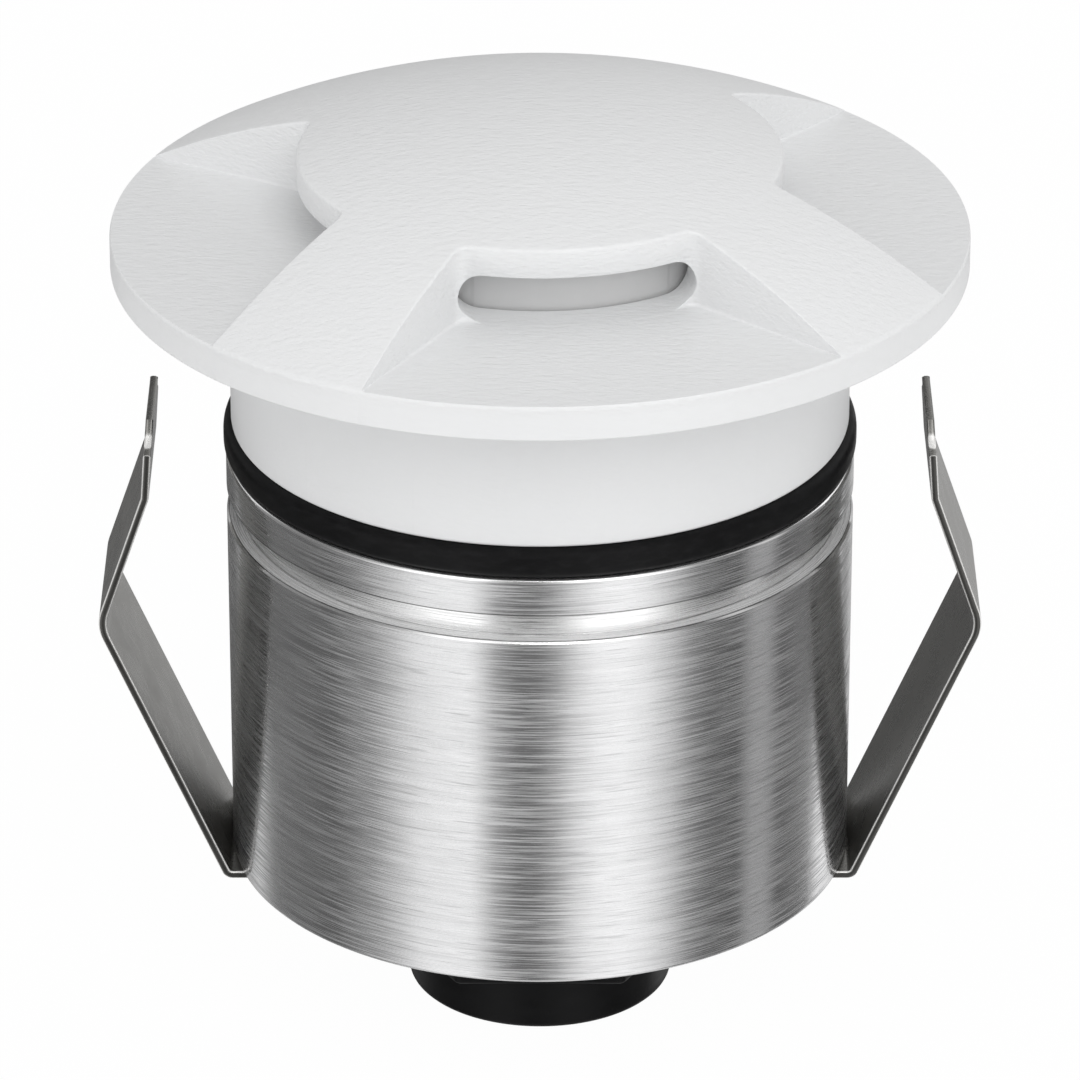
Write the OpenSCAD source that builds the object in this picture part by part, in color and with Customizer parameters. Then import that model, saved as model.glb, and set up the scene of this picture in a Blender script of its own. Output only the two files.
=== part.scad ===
// In ground well light: a domed head that shines out of three side windows, on a sealed steel body
// with a spring clip on each side and a cable gland below. Sizes are in millimetres, Z is up, and
// z = 0 is the underside of the flange, which is the level of the ground or deck board.

/* [Head] */
// Radius of the flange that covers the hole
flange_r = 30; // [29:0.5:33]
// Height of the rim above the ground
flange_t = 2.5; // [2.3:0.1:3]
// Rounding of the rim's upper edge
rim_round = 0.5; // [0.3:0.1:0.8]
// Height of the crown above the rim
crown_h = 7.9; // [7.6:0.1:9]
// Turn of the three windows from the clips, in degrees
window_turn = 9.6; // [0:0.2:14]
// How far the upright wall that holds the windows stands in from the body's side
recess_inset = 5.3; // [5:0.1:5.7]
// Half the width of each recess at that wall, in degrees
recess_half_deg = 28.3; // [24:0.1:30]
// Flare of the recess side walls, in degrees from the window's centre line
recess_flare_deg = 39; // [35:0.5:42]
// Rounding in the upright corners of a recess
recess_fillet = 1; // [0.5:0.1:1.5]
// Height of a window, which stands on the recess floor
window_h = 3.45; // [3.2:0.05:3.6]
// Thickness of the wall that a window goes through
window_wall = 2.3; // [2:0.1:2.6]
// How far the skirt below the flange stands in from the body's side
skirt_inset = 0.4; // [0.2:0.1:0.6]
// How far the skirt goes down from the flange
skirt_drop = 11.9; // [11:0.1:13]
// How far the spigot goes into the steel body, below the ring
spigot_drop = 9.8; // [9:0.1:11]
// Wall of the spigot
spigot_wall = 1.7; // [1.5:0.1:1.8]

/* [Sealing ring] */
// How far the black ring between head and body stands out past the body
ring_past = 0.15; // [0.05:0.05:0.3]
// Height of the ring
ring_h = 2.3; // [2:0.1:2.6]
// Rounding of the ring's outer edges
ring_round = 0.8; // [0.5:0.1:0.9]

/* [Steel body] */
// Outer radius of the steel body
body_r = 22.2; // [21.7:0.1:22.7]
// Height of the steel body
body_h = 31.45; // [30:0.05:34]
// Wall of the steel body
body_wall = 1.8; // [1.6:0.1:1.9]
// Floor of the steel body
body_floor = 1.5; // [1.2:0.1:2]
// Rounding of the body's upper and lower edges
body_round = 0.3; // [0.2:0.05:0.4]
// Distance from the body's top to the turned groove
groove_drop = 2.75; // [2.2:0.05:3.5]
// Height of the turned groove
groove_h = 1.95; // [1.5:0.05:2.2]
// Depth of the turned groove
groove_deep = 1.05; // [0.8:0.05:1.1]
// Broken edge below the groove
groove_break = 0.2; // [0.1:0.05:0.3]

/* [Spring clips] */
// Thickness of the spring strip
strip_t = 0.55; // [0.5:0.05:0.6]
// Width of the spring strip
strip_w = 12.05; // [11:0.05:13]
// Lean of the lower leg outwards, in degrees
leg_lean = 23.4; // [22:0.2:25]
// Lean of the upper leg inwards, in degrees
upper_lean = 18.9; // [17:0.1:20]
// Lean of the tab inwards, in degrees
tab_lean = 3.9; // [2:0.1:5]
// Straight length of the lower leg
leg_len = 20.35; // [19:0.05:21]
// Straight length of the upper leg
upper_len = 9.25; // [8.5:0.05:10]
// Straight length of the tab
tab_len = 4.95; // [4.5:0.05:5.5]
// Outer radius of the elbow
elbow_r = 3.2; // [2.6:0.1:4]
// Width of the tab at the tip
tab_w = 7.25; // [6:0.05:8]
// Radius of the hollow corner beside the tab
shoulder_r = 1.7; // [1:0.1:2]

/* [Cable gland] */
// Circle through the corners of the gland's hexagon
hex_r = 12; // [11.5:0.1:12.2]
// Height of the hexagon
hex_h = 5.65; // [5:0.05:6.5]
// Radius of the round gland nut
nut_r = 9.52; // [9.4:0.02:9.8]
// Height of the gland nut
nut_h = 4; // [3.6:0.1:5]
// Radius of the hole for the cable
cable_r = 3.25; // [3:0.05:3.5]

/* [Hidden] */
$fn = 96;

// Overrun of every cut past the face it goes through
cut = 0.4;
// Clearance between parts that slide together
slide_gap = 0.1;
// Clearance round screws, rivets and pins
screw_gap = 0.05;

// Radii that follow the steel body
recess_r = body_r - recess_inset;
skirt_r = body_r - skirt_inset;
ring_r = body_r + ring_past;

// Dome: the sphere meets the rim at flange_t, and the rim's rounding is tangent to it
dome_r = (flange_r * flange_r + crown_h * crown_h) / (2 * crown_h);
dome_z = flange_t + crown_h - dome_r;
rim_arc_r = flange_r - rim_round;
rim_z = dome_z + sqrt(pow(dome_r - rim_round, 2) - pow(rim_arc_r, 2));
dome_edge_r = rim_arc_r * dome_r / (dome_r - rim_round);
crown_z = flange_t + crown_h;

// Windows: three at right angles, and the back of the head is solid. Each is a slot with round
// ends, cut along its own centre line, that goes past the corners of its recess by window_past.
window_past = 0.2;
window_turns = [for (quarter = [-1, 0, 2]) window_turn + quarter * 90];
// Angle from each window to the next one round
window_steps = [90, 180, 90];
solid_turns = [window_turn - 45, window_turn - 135, window_turn + 90];
window_half_w = recess_r * sin(recess_half_deg) + window_past;
window_end_r = window_h / 2;
chamber_r = recess_r - window_wall;

// Levels inside the head, from the shoulder that the seal presses on downwards
recess_floor_t = 1.4;
shoulder_z = flange_t - recess_floor_t;
seal_t = 0.6;
guide_flange_t = 1.2;
sink_z = shoulder_z - seal_t - guide_flange_t;
window_roof = 0.9;
chamber_top_z = flange_t + window_h + window_roof;

// Body and spigot
ring_z = -skirt_drop - ring_h;
body_z = ring_z - body_h;
body_bore_r = body_r - body_wall;
spigot_r = body_bore_r - slide_gap;
spigot_z = ring_z - spigot_drop;
head_bore_r = spigot_r - spigot_wall;
floor_z = body_z + body_floor;

// Light guide
guide_r = chamber_r - slide_gap;
guide_wall = 1.5;
guide_relief = 0.25;
guide_pad_past = 0.3;
guide_pad_deg = asin((window_half_w - window_end_r + guide_pad_past) / guide_r);
guide_in_r = guide_r - guide_wall;
guide_flange_r = head_bore_r - slide_gap;
guide_top_gap = 0.1;

// Reflector under the crown
reflector_t = 0.6;
reflector_gap = 0.3;
reflector_r = guide_in_r - reflector_gap;
cone_inset = 4;
cone_top_r = reflector_r - cone_inset;
cone_tip_r = 0.8;
cone_h = 3.6;

// LED board
pad_t = 0.3;
board_t = 1;
board_gap = 0.4;
board_r = guide_in_r - board_gap;
board_z = sink_z + pad_t;
chip_w_share = 0.2;
chip_l_share = 0.25;
chip_ring_share = 0.65;
chip_w = board_r * chip_w_share;
chip_l = board_r * chip_l_share;
chip_ring_r = board_r * chip_ring_share;
chip_h = 0.7;
chip_turn = 23;
board_screw_r = 1;
board_screw_head_share = 0.135;
board_screw_head_r = board_r * board_screw_head_share;
board_screw_head_h = 1;
board_screw_ring_share = 0.82;
board_screw_ring_r = board_r * board_screw_ring_share;
board_screw_len = 3.4;

// Heat sink
sink_r = head_bore_r - slide_gap;
sink_t = 5;
fin_t = 1.2;
fin_h = 5;
fin_in_r = 6;
fin_inset = 3.8;
fin_out_r = sink_r - fin_inset;
fin_count = 18;
fin_step = 360 / fin_count;
fins_per_standoff = 6;
lead_bore_r = 2.4;

// Screws that pull heat sink, light guide and seal up against the head
head_screw_r = 0.8;
head_screw_inset = 1.5;
head_screw_ring_r = head_bore_r - head_screw_inset;
head_screw_head_r = 1.4;
head_screw_head_h = 1.2;
head_screw_grip = 3.6;
head_screw_seat_z = sink_z - sink_t;

// Driver board hung from the heat sink on three hexagon standoffs
standoff_r = 2.6;
standoff_len = 16.3;
// Angle between the standoffs, and the turn of the first, clear of the LED board's screws
third_turn = 120;
standoff_turn = 10;
standoff_turns = [for (third = [0:2]) standoff_turn + third * third_turn];
stud_r = 1.2;
stud_len = 3;
tap_len = 6;
driver_gap = 1;
driver_r = head_bore_r - driver_gap;
standoff_ring_share = 0.716;
standoff_ring_r = driver_r * standoff_ring_share;
driver_t = 1.6;
driver_top_z = sink_z - sink_t - standoff_len;
driver_z = driver_top_z - driver_t;
driver_screw_len = 4.5;
driver_screw_head_r = 2.2;
driver_screw_head_h = 1.4;

// Parts on the driver board. Their places and plans are shares of the board's radius.
coil_share = 0.227;
coil_core_share = 0.136;
coil_at_shares = [-0.489, 0];
coil_r = driver_r * coil_share;
coil_core_r = driver_r * coil_core_share;
coil_at = driver_r * coil_at_shares;
coil_flange_t = 1;
coil_h = 8;
cap_share = 0.179;
cap_at_shares = [0.284, -0.511];
cap_r = driver_r * cap_share;
cap_at = driver_r * cap_at_shares;
cap_h = 9;
cap_round = 0.5;
bridge_shares = [0.364, 0.267];
bridge_at_shares = [0.443, 0.4545];
bridge_plan = driver_r * bridge_shares;
bridge_at = driver_r * bridge_at_shares;
bridge_h = 2.6;
chip_body_shares = [0.284, 0.227];
chip_at_shares = [-0.398, -0.17];
chip_body = driver_r * chip_body_shares;
chip_at = driver_r * chip_at_shares;
chip_body_h = 1.6;
chip_pin_w = 0.4;
chip_pin_l = 1;
chip_pin_t = 0.3;
disc_share = 0.193;
disc_t_share = 0.17;
disc_at_shares = [0.017, 0.511];
disc_r = driver_r * disc_share;
disc_t = driver_r * disc_t_share;
disc_at = driver_r * disc_at_shares;
disc_leg_h = 1;
block_shares = [0.568, 0.432];
block_at_shares = [0.17, -0.375];
block_entry_share = 0.091;
block_screw_share = 0.074;
block_plan = driver_r * block_shares;
block_at = driver_r * block_at_shares;
block_h = 8.5;
block_entry_r = driver_r * block_entry_share;
block_entry_len = 5;
block_screw_r = driver_r * block_screw_share;
block_screw_deep = 0.8;

// Leads from the driver board up to the LED board
lead_r = 0.65;
lead_apart = 2.6;
lead_end = 0.4;

// Insulating liner
liner_t = 0.8;
liner_top_gap = 0.6;

// Gland
washer_t = 1.2;
washer_r = hex_r * cos(30) - slide_gap;
stem_inset = 4.1;
stem_r = hex_r - stem_inset;
stem_len = 3.66;
lock_nut_inset = 0.5;
lock_nut_r = hex_r - lock_nut_inset;
lock_nut_h = 3;
gland_hex_z = body_z - washer_t;
gland_collar_z = gland_hex_z - hex_h;
nut_gap = 0.1;
nut_round = 0.4;
nut_floor = 0.9;
nut_mouth_r = 4.4;
nut_z = gland_collar_z - nut_gap - nut_h;
nut_wall = 1.4;
gland_thread_r = nut_r - nut_wall;
grommet_r = 5.7;
grommet_len = 8;
grommet_ledge = 1.1;
grommet_seat_r = grommet_r - grommet_ledge;
grommet_mouth = 0.5;

// Spring clip, drawn on the +X side. The foot lies flat under the body's floor.
root_bend_r = 0.3;
root_gap = 0.16;
root_x = body_r - body_round + root_gap;
root_z = body_z + root_bend_r;
root_out_r = root_bend_r + strip_t;
foot_gap = 0.6;
foot_in_x = hex_r + foot_gap;
tab_bend_r = 0.8;
elbow_in_r = elbow_r - strip_t;
// Centres of the bends, and the ends of the straight stretches, on the outer face of the strip
leg_end = [root_x + root_out_r * cos(leg_lean), root_z - root_out_r * sin(leg_lean)]
    + leg_len * [sin(leg_lean), cos(leg_lean)];
elbow_at = leg_end - elbow_r * [cos(leg_lean), -sin(leg_lean)];
elbow_mid_deg = (upper_lean - leg_lean) / 2;
upper_end = elbow_at + elbow_r * [cos(upper_lean), sin(upper_lean)]
    + upper_len * [-sin(upper_lean), cos(upper_lean)];
tab_bend_at = upper_end + tab_bend_r * [cos(upper_lean), sin(upper_lean)];
tab_out = [cos(tab_lean), sin(tab_lean)];
tip_out = tab_bend_at - tab_bend_r * tab_out + tab_len * [-tab_out[1], tab_out[0]];
shoulder_from_tip = 1.72;
tab_shoulder_z = tip_out[1] - shoulder_from_tip;
bend_steps = 12;
// Points of a bend round a centre, from one angle to another
function bend(at, r, from_deg, to_deg) = [
    for (step = [0:bend_steps])
        let (turn = from_deg + (to_deg - from_deg) * step / bend_steps) at + r * [cos(turn), sin(turn)]
];

// Rivets through foot and floor
rivet_r = 1;
rivet_head_r = 1.6;
rivet_head_h = 0.8;
rivet_back_h = 0.6;
// Place of the rivets along the foot, from its inner end
rivet_share = 0.285;
rivet_x = foot_in_x + rivet_share * (root_x - foot_in_x);
rivet_apart = 6.4;

// A ring of rectangular section
module ring(in_r, out_r, low, high) {
    translate([0, 0, low])
        difference() {
            cylinder(r = out_r, h = high - low);
            translate([0, 0, -cut]) cylinder(r = in_r, h = high - low + 2 * cut);
        }
}

// A round bar with a rounded lower and upper edge
module rounded_bar(r, low, high, low_round, high_round) {
    translate([0, 0, low + low_round]) cylinder(r = r, h = high - low - low_round - high_round);
    if (low_round > 0) {
        translate([0, 0, low]) cylinder(r = r - low_round, h = 2 * low_round);
        translate([0, 0, low + low_round]) edge_ring(r, low_round);
    }
    if (high_round > 0) {
        translate([0, 0, high - 2 * high_round]) cylinder(r = r - high_round, h = 2 * high_round);
        translate([0, 0, high - high_round]) edge_ring(r, high_round);
    }
}

// The round edge of a bar: a ring of round section inside radius r
module edge_ring(r, round) {
    rotate_extrude() translate([r - round, 0]) circle(r = round, $fn = 32);
}

// The place of something at a turn and a distance from the axis
module polar(turn, dist) {
    rotate([0, 0, turn]) translate([dist, 0, 0]) children();
}

// Plan of one recess, opening towards +X. Its inner wall is round, and its corners are filleted.
module recess_plan() {
    corner = recess_r * [cos(recess_half_deg), sin(recess_half_deg)];
    along = [cos(recess_flare_deg), sin(recess_flare_deg)];
    inward = [sin(recess_flare_deg), -cos(recess_flare_deg)];
    far = corner + flange_r * along;
    start = corner + recess_fillet * inward;
    half_b = start * along;
    reach = -half_b + sqrt(half_b * half_b - start * start + pow(recess_r + recess_fillet, 2));
    centre = start + reach * along;
    on_wall = centre - recess_fillet * inward;
    on_round = centre * recess_r / (recess_r + recess_fillet);
    difference() {
        polygon([corner, far, [far[0], -far[1]], [corner[0], -corner[1]]]);
        circle(r = recess_r);
        for (side = [0, 1]) mirror([0, side]) polygon([corner, on_round, centre, on_wall]);
    }
    for (side = [0, 1]) mirror([0, side]) translate(centre) circle(r = recess_fillet, $fn = 32);
}

// The cut of one window through its wall, towards +X, with round ends
module window_cut() {
    in_x = sqrt(chamber_r * chamber_r - window_half_w * window_half_w) - cut;
    through = recess_r + cut - in_x;
    end_y = window_half_w - window_end_r;
    translate([in_x, -end_y, flange_t]) cube([through, 2 * end_y, window_h]);
    for (side = [-1, 1])
        translate([in_x, side * end_y, flange_t + window_end_r])
            rotate([0, 90, 0]) cylinder(r = window_end_r, h = through);
}

// Head: flange, dome, skirt and spigot in one casting
module cap() {
    color("whitesmoke")
        difference() {
            union() {
                cylinder(r = flange_r, h = rim_z);
                translate([0, 0, rim_z]) edge_ring(flange_r, rim_round);
                intersection() {
                    translate([0, 0, dome_z]) sphere(r = dome_r);
                    cylinder(r = dome_edge_r, h = crown_z + cut);
                }
                translate([0, 0, -skirt_drop]) cylinder(r = skirt_r, h = skirt_drop + cut);
                translate([0, 0, spigot_z]) cylinder(r = spigot_r, h = -spigot_z);
            }
            for (turn = window_turns)
                rotate([0, 0, turn]) {
                    translate([0, 0, flange_t]) linear_extrude(height = crown_h + cut) recess_plan();
                    window_cut();
                }
            translate([0, 0, -cut]) cylinder(r = chamber_r, h = chamber_top_z + cut);
            translate([0, 0, spigot_z - cut]) cylinder(r = head_bore_r, h = shoulder_z - spigot_z + cut);
            for (turn = solid_turns)
                polar(turn, head_screw_ring_r)
                    cylinder(r = head_screw_r + screw_gap, h = shoulder_z + head_screw_grip + cut);
        }
}

// Flat seal pressed between the head's shoulder and the light guide
module window_gasket() {
    color("dimgray")
        difference() {
            ring(guide_r + slide_gap, guide_flange_r, shoulder_z - seal_t, shoulder_z);
            head_screw_holes(shoulder_z - seal_t, shoulder_z);
        }
}

// Clearance holes for the head screws between two levels
module head_screw_holes(low, high) {
    for (turn = solid_turns)
        polar(turn, head_screw_ring_r)
            translate([0, 0, low - cut]) cylinder(r = head_screw_r + screw_gap, h = high - low + 2 * cut);
}

// Frosted ring behind the windows, with a raised pad in each one and a flange below
module light_guide() {
    flange_z = shoulder_z - seal_t;
    top_z = chamber_top_z - guide_top_gap;
    color("gainsboro")
        difference() {
            rotate_extrude() polygon([
                [guide_in_r, sink_z],
                [guide_flange_r, sink_z],
                [guide_flange_r, flange_z],
                [guide_r, flange_z],
                [guide_r, top_z],
                [guide_in_r, top_z]
            ]);
            for (window = [0:len(window_turns) - 1])
                rotate([0, 0, window_turns[window] + guide_pad_deg])
                    rotate_extrude(angle = window_steps[window] - 2 * guide_pad_deg)
                        translate([guide_r - guide_relief, flange_z + guide_relief])
                            square([guide_relief + cut, top_z - flange_z]);
            head_screw_holes(sink_z, shoulder_z);
        }
}

// White cone under the crown that turns the light out to the windows
module reflector_cone() {
    color("white") {
        translate([0, 0, chamber_top_z - reflector_t]) cylinder(r = reflector_r, h = reflector_t);
        translate([0, 0, chamber_top_z - reflector_t - cone_h])
            cylinder(r1 = cone_tip_r, r2 = cone_top_r, h = cone_h);
    }
}

// Places of the LED board's own screws
module led_screw_places() {
    for (turn = solid_turns) polar(turn, board_screw_ring_r) children();
}

// Places of the two leads
module lead_places() {
    for (side = [-1, 1]) translate([side * lead_apart / 2, 0, 0]) children();
}

// Round metal-core board under the light guide
module led_board() {
    color("mintcream")
        translate([0, 0, board_z])
            difference() {
                cylinder(r = board_r, h = board_t);
                led_screw_places()
                    translate([0, 0, -cut]) cylinder(r = board_screw_r + screw_gap, h = board_t + 2 * cut);
                lead_places()
                    translate([0, 0, -cut]) cylinder(r = lead_r + screw_gap, h = board_t + 2 * cut);
            }
}

// Three LEDs in front of each window
module led_chips() {
    color("khaki")
        for (turn = window_turns, step = [-1, 0, 1])
            polar(turn + step * chip_turn, chip_ring_r)
                translate([-chip_l / 2, -chip_w / 2, board_z + board_t]) cube([chip_l, chip_w, chip_h]);
}

// Screws of the LED board
module led_board_screws() {
    color("silver")
        led_screw_places()
            translate([0, 0, board_z + board_t]) {
                cylinder(r = board_screw_head_r, h = board_screw_head_h);
                translate([0, 0, -board_screw_len]) cylinder(r = board_screw_r, h = board_screw_len + cut);
            }
}

// Thermal pad between LED board and heat sink
module thermal_pad() {
    color("lightsteelblue")
        difference() {
            translate([0, 0, sink_z]) cylinder(r = board_r, h = pad_t);
            led_screw_places()
                translate([0, 0, sink_z - cut]) cylinder(r = board_screw_r + screw_gap, h = pad_t + 2 * cut);
            translate([0, 0, sink_z - cut]) cylinder(r = lead_bore_r, h = pad_t + 2 * cut);
        }
}

// Aluminium core that carries the LED board and clamps the light guide
module heat_sink() {
    low = sink_z - sink_t;
    color("silver")
        difference() {
            union() {
                translate([0, 0, low]) cylinder(r = sink_r, h = sink_t);
                for (fin = [1:fin_count])
                    if (fin % fins_per_standoff != 0)
                        polar(standoff_turn + fin * fin_step, fin_in_r)
                            translate([0, -fin_t / 2, low - fin_h])
                                cube([fin_out_r - fin_in_r, fin_t, fin_h + cut]);
            }
            translate([0, 0, low - cut]) cylinder(r = lead_bore_r, h = sink_t + 2 * cut);
            head_screw_holes(low, sink_z);
            led_screw_places()
                translate([0, 0, sink_z - board_screw_len])
                    cylinder(r = board_screw_r + screw_gap, h = board_screw_len + cut);
            for (turn = standoff_turns)
                polar(turn, standoff_ring_r)
                    translate([0, 0, low - cut]) cylinder(r = stud_r + screw_gap, h = stud_len + 2 * cut);
        }
}

// Screws that hold the light parts up in the head
module head_screws() {
    color("silver")
        for (turn = solid_turns)
            polar(turn, head_screw_ring_r) {
                translate([0, 0, head_screw_seat_z - head_screw_head_h])
                    cylinder(r = head_screw_head_r, h = head_screw_head_h);
                translate([0, 0, head_screw_seat_z - screw_gap])
                    cylinder(r = head_screw_r, h = shoulder_z + head_screw_grip - head_screw_seat_z);
            }
}

// Hexagon standoffs, with a stud up into the heat sink
module standoffs() {
    color("goldenrod")
        for (turn = standoff_turns)
            polar(turn, standoff_ring_r)
                difference() {
                    union() {
                        translate([0, 0, driver_top_z]) cylinder(r = standoff_r, h = standoff_len, $fn = 6);
                        translate([0, 0, driver_top_z]) cylinder(r = stud_r, h = standoff_len + stud_len);
                    }
                    translate([0, 0, driver_top_z - cut]) cylinder(r = stud_r, h = tap_len + cut);
                }
}

// Round driver board
module driver_board() {
    color("darkgreen")
        difference() {
            translate([0, 0, driver_z]) cylinder(r = driver_r, h = driver_t);
            for (turn = standoff_turns)
                polar(turn, standoff_ring_r)
                    translate([0, 0, driver_z - cut])
                        cylinder(r = stud_r + screw_gap, h = driver_t + 2 * cut);
            lead_places()
                translate([0, 0, driver_z - cut])
                    cylinder(r = lead_r + screw_gap, h = driver_t + 2 * cut);
        }
}

// Screws of the driver board, up into the standoffs
module driver_board_screws() {
    color("silver")
        for (turn = standoff_turns)
            polar(turn, standoff_ring_r) {
                translate([0, 0, driver_z - driver_screw_head_h])
                    cylinder(r = driver_screw_head_r, h = driver_screw_head_h);
                translate([0, 0, driver_z - screw_gap])
                    cylinder(r = stud_r - screw_gap, h = driver_screw_len + screw_gap);
            }
}

// Drum core choke on the driver board
module inductor() {
    color("saddlebrown")
        translate([coil_at[0], coil_at[1], driver_top_z]) {
            cylinder(r = coil_r, h = coil_flange_t);
            cylinder(r = coil_core_r + coil_flange_t, h = coil_h);
            translate([0, 0, coil_h - coil_flange_t]) cylinder(r = coil_r, h = coil_flange_t);
        }
}

// Electrolytic capacitor
module capacitor() {
    color("darkslategray")
        translate([cap_at[0], cap_at[1], 0])
            rounded_bar(cap_r, driver_top_z, driver_top_z + cap_h, 0, cap_round);
}

// Bridge rectifier
module rectifier() {
    color("black")
        translate([bridge_at[0] - bridge_plan[0] / 2, bridge_at[1] - bridge_plan[1] / 2, driver_top_z])
            cube([bridge_plan[0], bridge_plan[1], bridge_h]);
}

// Controller chip under the driver board, with its two rows of pins
module driver_chip() {
    pins = 4;
    pitch = chip_body[0] / pins;
    first_x = (pitch - chip_body[0] - chip_pin_w) / 2;
    color("black")
        translate([chip_at[0], chip_at[1], driver_z - chip_body_h]) {
            translate([-chip_body[0] / 2, -chip_body[1] / 2, 0])
                cube([chip_body[0], chip_body[1], chip_body_h]);
            for (side = [0, 1], pin = [0:pins - 1])
                mirror([0, side, 0])
                    translate([first_x + pin * pitch, 0, chip_body_h - chip_pin_t])
                        cube([chip_pin_w, chip_body[1] / 2 + chip_pin_l, chip_pin_t]);
        }
}

// Surge disc that stands on its two legs
module varistor() {
    color("royalblue")
        translate([disc_at[0], disc_at[1], driver_top_z]) {
            translate([0, disc_t / 2, disc_leg_h + disc_r])
                rotate([90, 0, 0]) cylinder(r = disc_r, h = disc_t);
            for (side = [-1, 1])
                translate([side * disc_r / 2, 0, 0]) cylinder(r = lead_r / 2, h = disc_leg_h + disc_r);
        }
}

// Two-way terminal block for the supply, under the driver board
module terminal_block() {
    color("seagreen")
        translate([block_at[0], block_at[1], driver_z - block_h])
            difference() {
                translate([-block_plan[0] / 2, -block_plan[1] / 2, 0])
                    cube([block_plan[0], block_plan[1], block_h]);
                for (side = [-1, 1]) translate([side * block_plan[0] / 4, 0, 0]) {
                    translate([0, 0, -cut]) cylinder(r = block_entry_r, h = block_entry_len + cut);
                    translate([0, -block_plan[1] / 2 + block_screw_deep, block_h / 2])
                        rotate([90, 0, 0]) cylinder(r = block_screw_r, h = block_screw_deep + cut);
                }
            }
}

// Two leads from the driver board to the LED board
module led_leads() {
    top = board_z + board_t + lead_end;
    color("firebrick")
        lead_places()
            translate([0, 0, driver_z - lead_end]) cylinder(r = lead_r, h = top - driver_z + lead_end);
}

// Black ring squeezed between skirt and body, round on its outer edges
module cap_gasket() {
    color("black")
        difference() {
            rounded_bar(ring_r, ring_z, ring_z + ring_h, ring_round, ring_round);
            translate([0, 0, ring_z - cut]) cylinder(r = body_bore_r, h = ring_h + 2 * cut);
        }
}

// Steel body: a turned cup with a groove near its top
module housing() {
    groove_top = ring_z - groove_drop;
    groove_low = groove_top - groove_h;
    color("lightgray")
        difference() {
            rounded_bar(body_r, body_z, ring_z, body_round, body_round);
            translate([0, 0, floor_z]) cylinder(r = body_bore_r, h = body_h);
            rotate_extrude() polygon([
                [body_r - groove_deep, groove_top],
                [body_r + cut, groove_top],
                [body_r + cut, groove_low - groove_break - cut],
                [body_r - groove_break, groove_low],
                [body_r - groove_deep, groove_low]
            ]);
            translate([0, 0, body_z - cut]) cylinder(r = stem_r + slide_gap, h = body_floor + 2 * cut);
            rivet_places()
                translate([0, 0, body_z - cut]) cylinder(r = rivet_r + screw_gap, h = body_floor + 2 * cut);
        }
}

// Insulating tube between the driver and the steel wall
module insulating_liner() {
    color("ivory")
        ring(body_bore_r - slide_gap - liner_t, body_bore_r - slide_gap, floor_z, spigot_z - liner_top_gap);
}

// Rubber washer between gland and body
module gland_washer() {
    color("dimgray") ring(stem_r + slide_gap, washer_r, gland_hex_z, body_z);
}

// Gland body: stem up through the floor, hexagon, and thread for the round nut below
module gland_body() {
    stem_top = floor_z + stem_len;
    thread_z = nut_z + nut_floor + nut_gap;
    seat_z = thread_z + grommet_len;
    color("black")
        difference() {
            union() {
                translate([0, 0, gland_hex_z]) cylinder(r = stem_r, h = stem_top - gland_hex_z);
                translate([0, 0, gland_collar_z]) cylinder(r = hex_r, h = hex_h, $fn = 6);
                translate([0, 0, thread_z])
                    cylinder(r = gland_thread_r - slide_gap, h = gland_collar_z - thread_z + cut);
            }
            translate([0, 0, thread_z - cut]) cylinder(r = grommet_r + screw_gap, h = grommet_len + cut);
            translate([0, 0, seat_z - cut]) cylinder(r = grommet_seat_r, h = stem_top - seat_z + 2 * cut);
        }
}

// Hexagon nut on the gland's stem, inside the body
module gland_lock_nut() {
    color("black")
        translate([0, 0, floor_z])
            difference() {
                cylinder(r = lock_nut_r, h = lock_nut_h, $fn = 6);
                translate([0, 0, -cut]) cylinder(r = stem_r + screw_gap, h = lock_nut_h + 2 * cut);
            }
}

// Rubber insert that grips the cable
module cable_grommet() {
    low = nut_z + nut_floor + nut_gap;
    color("dimgray")
        difference() {
            translate([0, 0, low]) cylinder(r = grommet_r, h = grommet_len);
            translate([0, 0, low - cut]) cylinder(r = cable_r, h = grommet_len + 2 * cut);
        }
}

// Round gland nut with a mouth for the cable
module gland_nut() {
    color("black")
        difference() {
            rounded_bar(nut_r, nut_z, nut_z + nut_h, nut_round, 0);
            translate([0, 0, nut_z + nut_floor]) cylinder(r = gland_thread_r, h = nut_h);
            translate([0, 0, nut_z - cut]) cylinder(r = nut_mouth_r, h = nut_floor + 2 * cut);
            translate([0, 0, nut_z - cut])
                cylinder(r1 = nut_mouth_r + grommet_mouth + cut, r2 = nut_mouth_r, h = grommet_mouth + cut);
        }
}

// Places of the rivets, two through each foot
module rivet_places() {
    for (side_x = [-1, 1], side_y = [-1, 1])
        translate([side_x * rivet_x, side_y * rivet_apart / 2, 0]) children();
}

// Low dome of a rivet head that grows downwards from z = 0
module rivet_dome(r, h) {
    ball_r = (r * r + h * h) / (2 * h);
    intersection() {
        translate([0, 0, ball_r - h]) sphere(r = ball_r, $fn = 48);
        translate([0, 0, -h]) cylinder(r = r, h = h);
    }
}

// Rivets that hold the clips' feet under the floor
module clip_rivets() {
    color("silver")
        rivet_places() {
            translate([0, 0, body_z - strip_t]) rivet_dome(rivet_head_r, rivet_head_h);
            translate([0, 0, body_z - strip_t - screw_gap])
                cylinder(r = rivet_r, h = strip_t + body_floor + 2 * screw_gap);
            translate([0, 0, floor_z]) mirror([0, 0, 1]) rivet_dome(rivet_head_r, rivet_back_h);
        }
}

// A side view of the strip, drawn out to its width
module strip(outline) {
    rotate([90, 0, 0]) linear_extrude(height = strip_w, center = true) polygon(outline);
}

// Turns the +X clip to one side: 1 is right, -1 is left
module on_side(side) {
    mirror([side < 0 ? 1 : 0, 0, 0]) children();
}

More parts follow.
